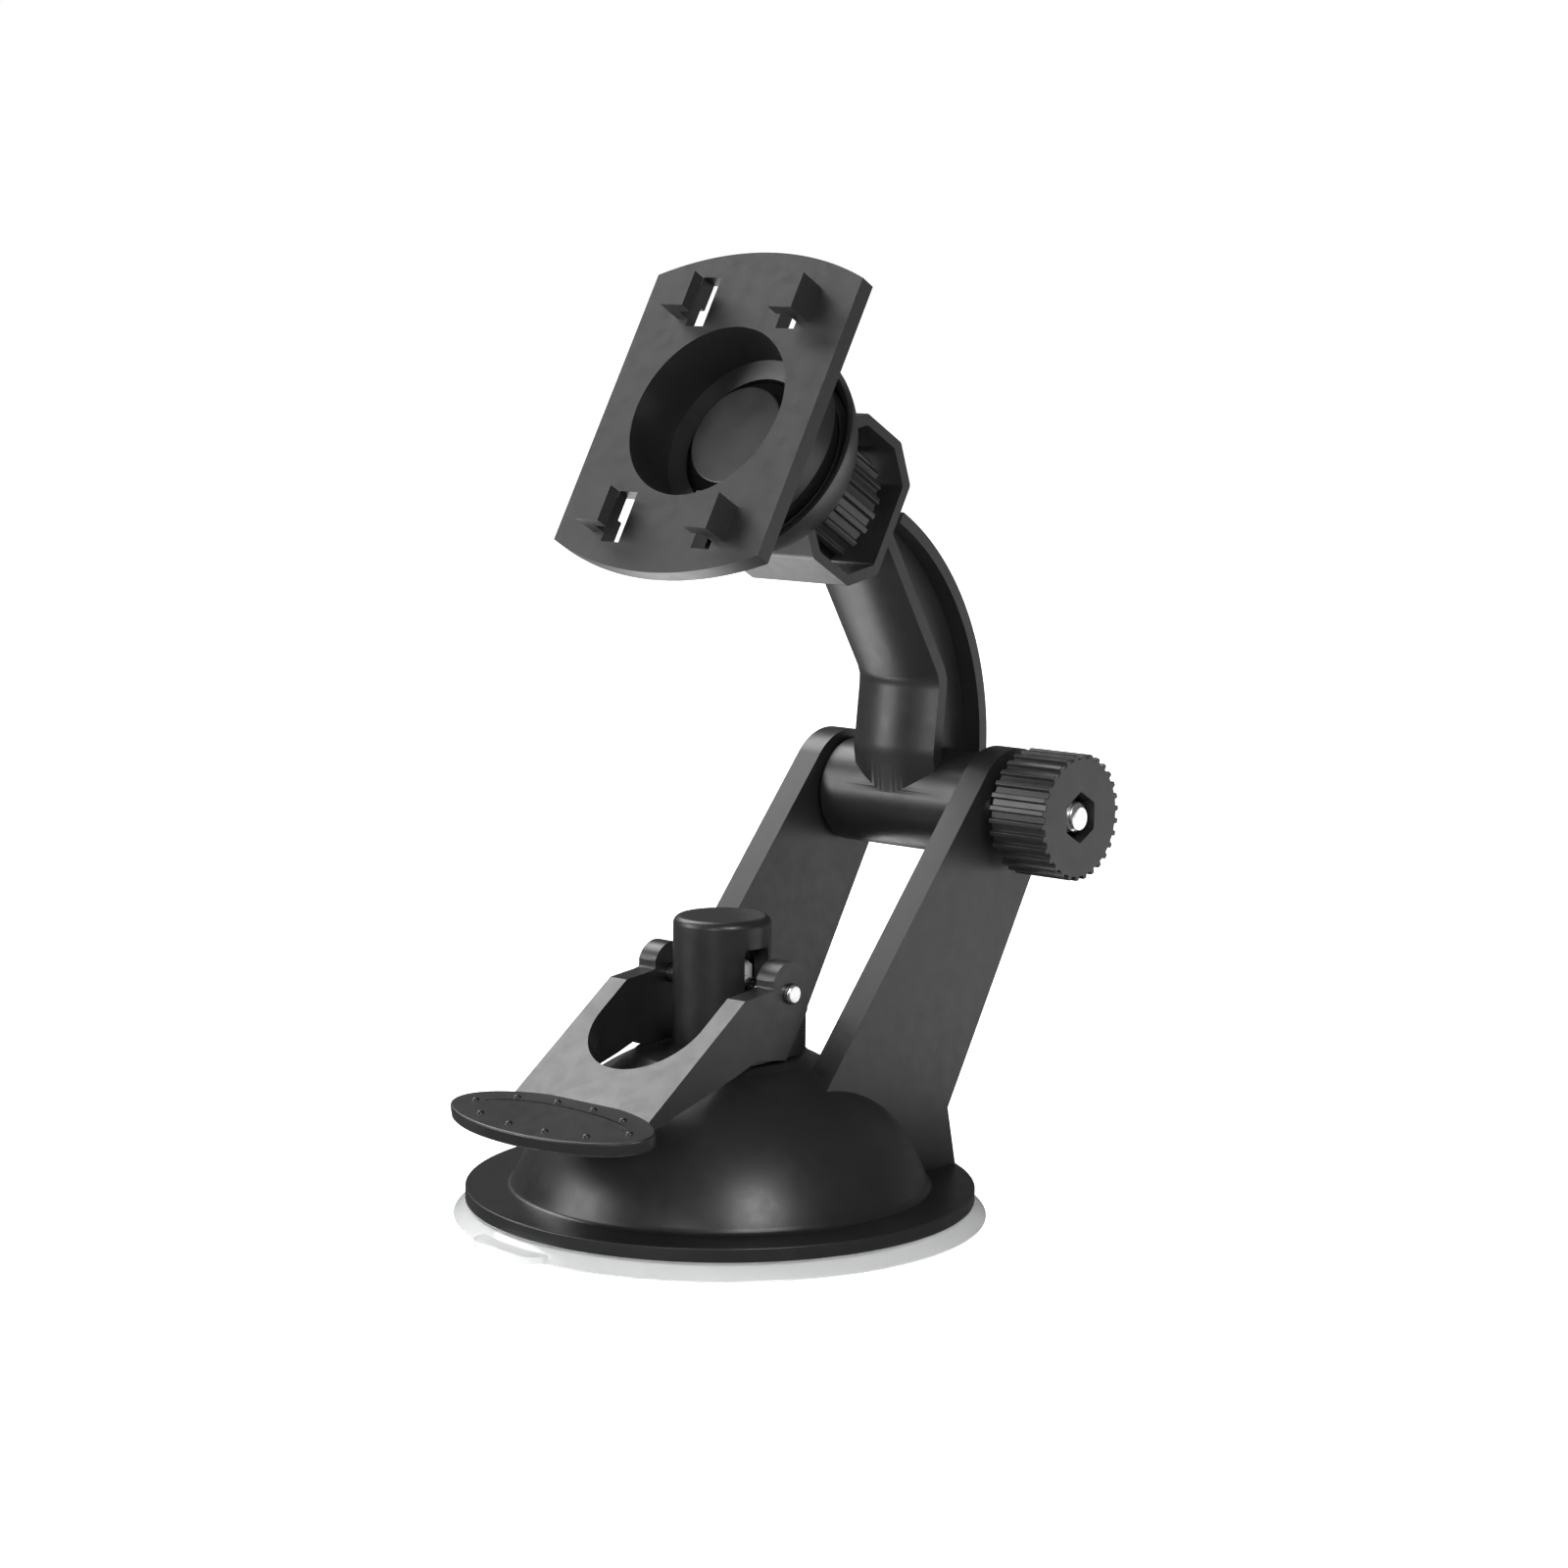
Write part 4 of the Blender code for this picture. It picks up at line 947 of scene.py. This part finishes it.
def clamp_bolt():
    """Hexagon-head bolt that points back through the neck into the thumbwheel."""
    root = [(BOLT_RADIUS, -1.0), (BOLT_RADIUS, 0.0)]
    shank = threaded(root, 0.1, CLAMP_BOLT_NECK - CLAMP_BOLT_END, BOLT_RADIUS, BOLT_PITCH)
    flip = Matrix.Translation((0.0, 0.0, CLAMP_BOLT_NECK)) @ Matrix.Rotation(math.pi, 4, "X")
    head = prism(hexagon(NUT_FLATS), "z", CLAMP_BOLT_NECK - 0.25, -1.35)
    piece("ball_bolt", head, AT_BALL, [join(moved(shank, flip))], STEEL, "neck_arm",
          ["clamp_bolt"], 0.0)


def zone(name, node, inner, outer, start, end, mat, slot, body):
    """A washer cut from a spherical shell, between two angles from straight down."""
    profile = shell_arc(inner, end, start, 14) + shell_arc(outer, start, end, 14)
    piece(name, turned(profile), AT_BALL, [], mat, body, [node], 0.0)


def plate_outline():
    """Straight sides, arched top and bottom."""
    radius = (PLATE_HALF_WIDTH ** 2 + PLATE_BULGE ** 2) / (2.0 * PLATE_BULGE)
    centre = PLATE_HALF_HEIGHT + PLATE_BULGE - radius
    half_span = math.degrees(math.asin(PLATE_HALF_WIDTH / radius))
    top = arc((0.0, centre), radius, 90.0 - half_span, 90.0 + half_span, 60)
    return top + [(-x, -y) for x, y in top]


def claw_plate():
    """Plate with four hooked claws over slots and, behind it, the ball's socket."""
    front = BALL_DEPTH
    back = BALL_DEPTH - PLATE_THICKNESS
    seat_high = math.degrees(math.asin(SOCKET_RING / SOCKET_SEAT))
    flare = (CUP_HOLE - SOCKET_STEP) / (front - SOCKET_STEP_Z)
    socket = [(0.0, back + 0.5), (SOCKET_TOP, back + 0.5), (SOCKET_OUTER, SOCKET_CREASE_Z)]
    socket += shell_arc(SOCKET_SPHERE, 78.0, 50.0, 20)
    socket += shell_arc(SOCKET_BACK, 46.0, SEAT_LOW - 4.0, 3)
    socket += [(0.0, socket[-1][1])]
    hollow = [(0.0, -SOCKET_BACK - 1.0)] + shell_arc(SOCKET_BACK + 1.0, SEAT_LOW, SEAT_LOW, 0)
    hollow += shell_arc(SOCKET_SEAT, SEAT_LOW, seat_high, 20)
    hollow += [(SOCKET_RING, -1.6), (SOCKET_STEP, SOCKET_STEP_Z), (CUP_HOLE + flare, front + 1.0),
               (0.0, front + 1.0)]
    steps = [join(turned(socket)), cut(turned(hollow))]
    root = front - 0.5
    top = front + CLAW_HEIGHT
    lip = top - CLAW_HOOK
    hook = [(CLAW_OUTER, root), (CLAW_OUTER, top), (CLAW_INNER, top), (CLAW_INNER, lip), (CLAW_NECK, lip),
            (CLAW_NECK, root)]
    for sx in (-1, 1):
        for sy in (-1, 1):
            low_y, high_y = sorted((sy * SLOT_LOW, sy * SLOT_HIGH))
            low_x, high_x = sorted((sx * SLOT_INNER, sx * (CLAW_NECK + 0.02)))
            steps.append(cut(block((low_x, low_y, back - 0.2), (high_x, high_y, front + 0.2))))
            low_y, high_y = sorted((sy * SLOT_LOW, sy * RECESS_HIGH))
            low_x, high_x = sorted((sx * SLOT_INNER, sx * RECESS_OUTER))
            steps.append(cut(block((low_x, low_y, back - 0.2), (high_x, high_y, back + RECESS_DEPTH))))
            outline = [(sx * x, z) for x, z in hook]
            low_y, high_y = sorted((sy * CLAW_LOW, sy * CLAW_HIGH))
            steps.append(join(prism(outline, "y", low_y, high_y)))
    body = prism(plate_outline(), "z", back, front)
    piece("camera_plate", body, AT_BALL, steps, BLACK, "plate", ["claw_plate"], 0.22)


# ---------------------------------------------------------------- studio

SURROUND = 0.12                # how strongly the surround lights the object
AIM_HEIGHT = 0.06              # metres
# name, energy, size and direction from the object
SOFT_BOXES = [
    ("key", 8.5, (0.55, 0.75), (-0.65, 0.05, 0.74)),
    ("front", 3.6, (0.5, 0.36), (-0.62, -0.64, 0.38)),
    ("low_front", 2.2, (0.38, 0.14), (-0.64, -0.75, 0.1)),
    ("right", 5.0, (0.32, 0.32), (0.76, -0.38, 0.52)),
    ("strip", 1.9, (0.16, 0.26), (0.36, -0.9, 0.17)),
]
# name, energy, size, place on the floor and spread in degrees
LOW_PANELS = [
    ("low_left", 0.22, (0.14, 0.16), (-0.1, -0.02), 130.0),
    ("low_rear", 2.1, (0.76, 0.76), (0.41, 0.43), 180.0),
]


def soft_light(name, energy, size, place, target):
    data = bpy.data.lights.new(name, "AREA")
    data.shape = "RECTANGLE"
    data.size = size[0]
    data.size_y = size[1]
    data.energy = energy
    obj = bpy.data.objects.new(name, data)
    bpy.context.scene.collection.objects.link(obj)
    obj.location = place
    obj.rotation_euler = (Vector(target) - Vector(place)).to_track_quat("-Z", "Y").to_euler()
    return obj


def studio():
    """Pale floor and surround, and soft boxes over the left shoulder, in front and on the right."""
    mat, nodes, links, shader = graph("pale_floor")
    cloud = noise(nodes, links, 6.0).outputs["Fac"]
    links.new(tinted(nodes, links, cloud, (0.9, 0.9, 0.9), (0.93, 0.93, 0.93)), shader.inputs["Base Color"])
    shader.inputs["Roughness"].default_value = 0.9
    shader.inputs["Specular IOR Level"].default_value = 0.0
    shader.inputs["Emission Color"].default_value = (1.0, 1.0, 1.0, 1.0)
    shader.inputs["Emission Strength"].default_value = 1.0
    floor = mesh_object("floor", turned([(0.0, -60.0), (9000.0, -60.0), (9000.0, -0.05), (0.0, -0.05)], 96))
    floor.data.transform(Matrix.Scale(MM, 4))
    floor.data.materials.append(mat)
    floor.visible_glossy = False
    world = bpy.data.worlds.new("studio")
    bpy.context.scene.world = world
    world.use_nodes = True
    nodes = world.node_tree.nodes
    links = world.node_tree.links
    seen = nodes.new("ShaderNodeLightPath")
    strength = nodes.new("ShaderNodeMapRange")
    strength.inputs["To Min"].default_value = SURROUND
    strength.inputs["To Max"].default_value = 1.0
    links.new(seen.outputs["Is Camera Ray"], strength.inputs["Value"])
    links.new(strength.outputs["Result"], nodes["Background"].inputs["Strength"])
    nodes["Background"].inputs["Color"].default_value = (1.0, 1.0, 1.0, 1.0)
    for name, energy, size, direction in SOFT_BOXES:
        place = Vector(direction).normalized() + Vector((0.0, 0.0, AIM_HEIGHT))
        soft_light(name, energy, size, place, (0.0, 0.0, AIM_HEIGHT))
    for name, energy, size, (x, y), spread in LOW_PANELS:
        panel = soft_light(name, energy, size, (x, y, 0.002), (x, y, 1.0))
        panel.data.spread = math.radians(spread)
        panel.visible_camera = False
    view = bpy.context.scene.view_settings
    view.view_transform = "Standard"


def camera():
    """Camera to the right of the front and a little above; angles in radians, lengths in millimetres."""
    azimuth = 0.7148
    elevation = 0.1413
    roll = 0.0102
    lens = 84.348675
    sensor = 36.0
    aim_height = 53.556
    sideways = 7.3945
    distance = 448.54
    back = Vector((math.sin(azimuth) * math.cos(elevation), -math.cos(azimuth) * math.cos(elevation),
                   math.sin(elevation)))
    right = Vector((math.cos(azimuth), math.sin(azimuth), 0.0))
    up = back.cross(right)
    rolled_right = math.cos(roll) * right + math.sin(roll) * up
    rolled_up = math.cos(roll) * up - math.sin(roll) * right
    data = bpy.data.cameras.new("camera")
    data.sensor_width = sensor
    data.lens = lens
    data.clip_start = 0.01
    data.clip_end = 10.0
    obj = bpy.data.objects.new("camera", data)
    bpy.context.scene.collection.objects.link(obj)
    place = Vector((0.0, CUP_Y, aim_height)) + sideways * right + distance * back
    matrix = Matrix((rolled_right, rolled_up, back)).transposed().to_4x4()
    matrix.translation = place * MM
    obj.matrix_world = matrix
    bpy.context.scene.camera = obj


camera()
studio()
base_housing()
suction_cup()
cup_stem()
return_spring()
release_lever()
lever_pin()
neck()
hinge_bolt()
hex_nut("knob_insert_nut", "knob_nut", AT_HINGE,
        KNOB_SEAT - NUT_GAP - NUT_HEIGHT, KNOB_SEAT - NUT_GAP, "knob")
hex_nut("wheel_insert_nut", "wheel_nut", AT_BALL,
        WHEEL_BACK + NUT_GAP, WHEEL_BACK + NUT_GAP + NUT_HEIGHT, "wheel")
for side, sign in (("left", -1), ("right", 1)):
    start, end = sorted((sign * (BARREL_HALF + WASHER_GAP), sign * (ARM_INNER - WASHER_GAP)))
    washer(f"{side}_rubber_washer", f"{side}_friction_washer", AT_HINGE, *FRICTION_WASHER, start, end,
           RUBBER, "rubber", "base")
washer("knob_steel_washer", "knob_washer", AT_HINGE, *KNOB_WASHER,
       ARM_OUTER + WASHER_GAP, KNOB_COLLAR - NUT_GAP, STEEL, "steel", "base")
washer("wheel_steel_washer", "wheel_washer", AT_BALL, *WHEEL_WASHER,
       WHEEL_FRONT - WHEEL_WASHER_THICKNESS, WHEEL_FRONT, STEEL, "steel", "neck_arm")
clamp_knob()
thumbwheel()
ball_head()
clamp_bolt()
zone("nylon_seat", "seat_washer", *SEAT_SHELL, SEAT_LOW, SEAT_HIGH, NYLON, "nylon", "seat")
zone("rubber_friction_ring", "friction_ring", *RING_SHELL, RING_LOW, RING_HIGH, RUBBER, "rubber", "ring")
claw_plate()

bpy.context.view_layer.update()
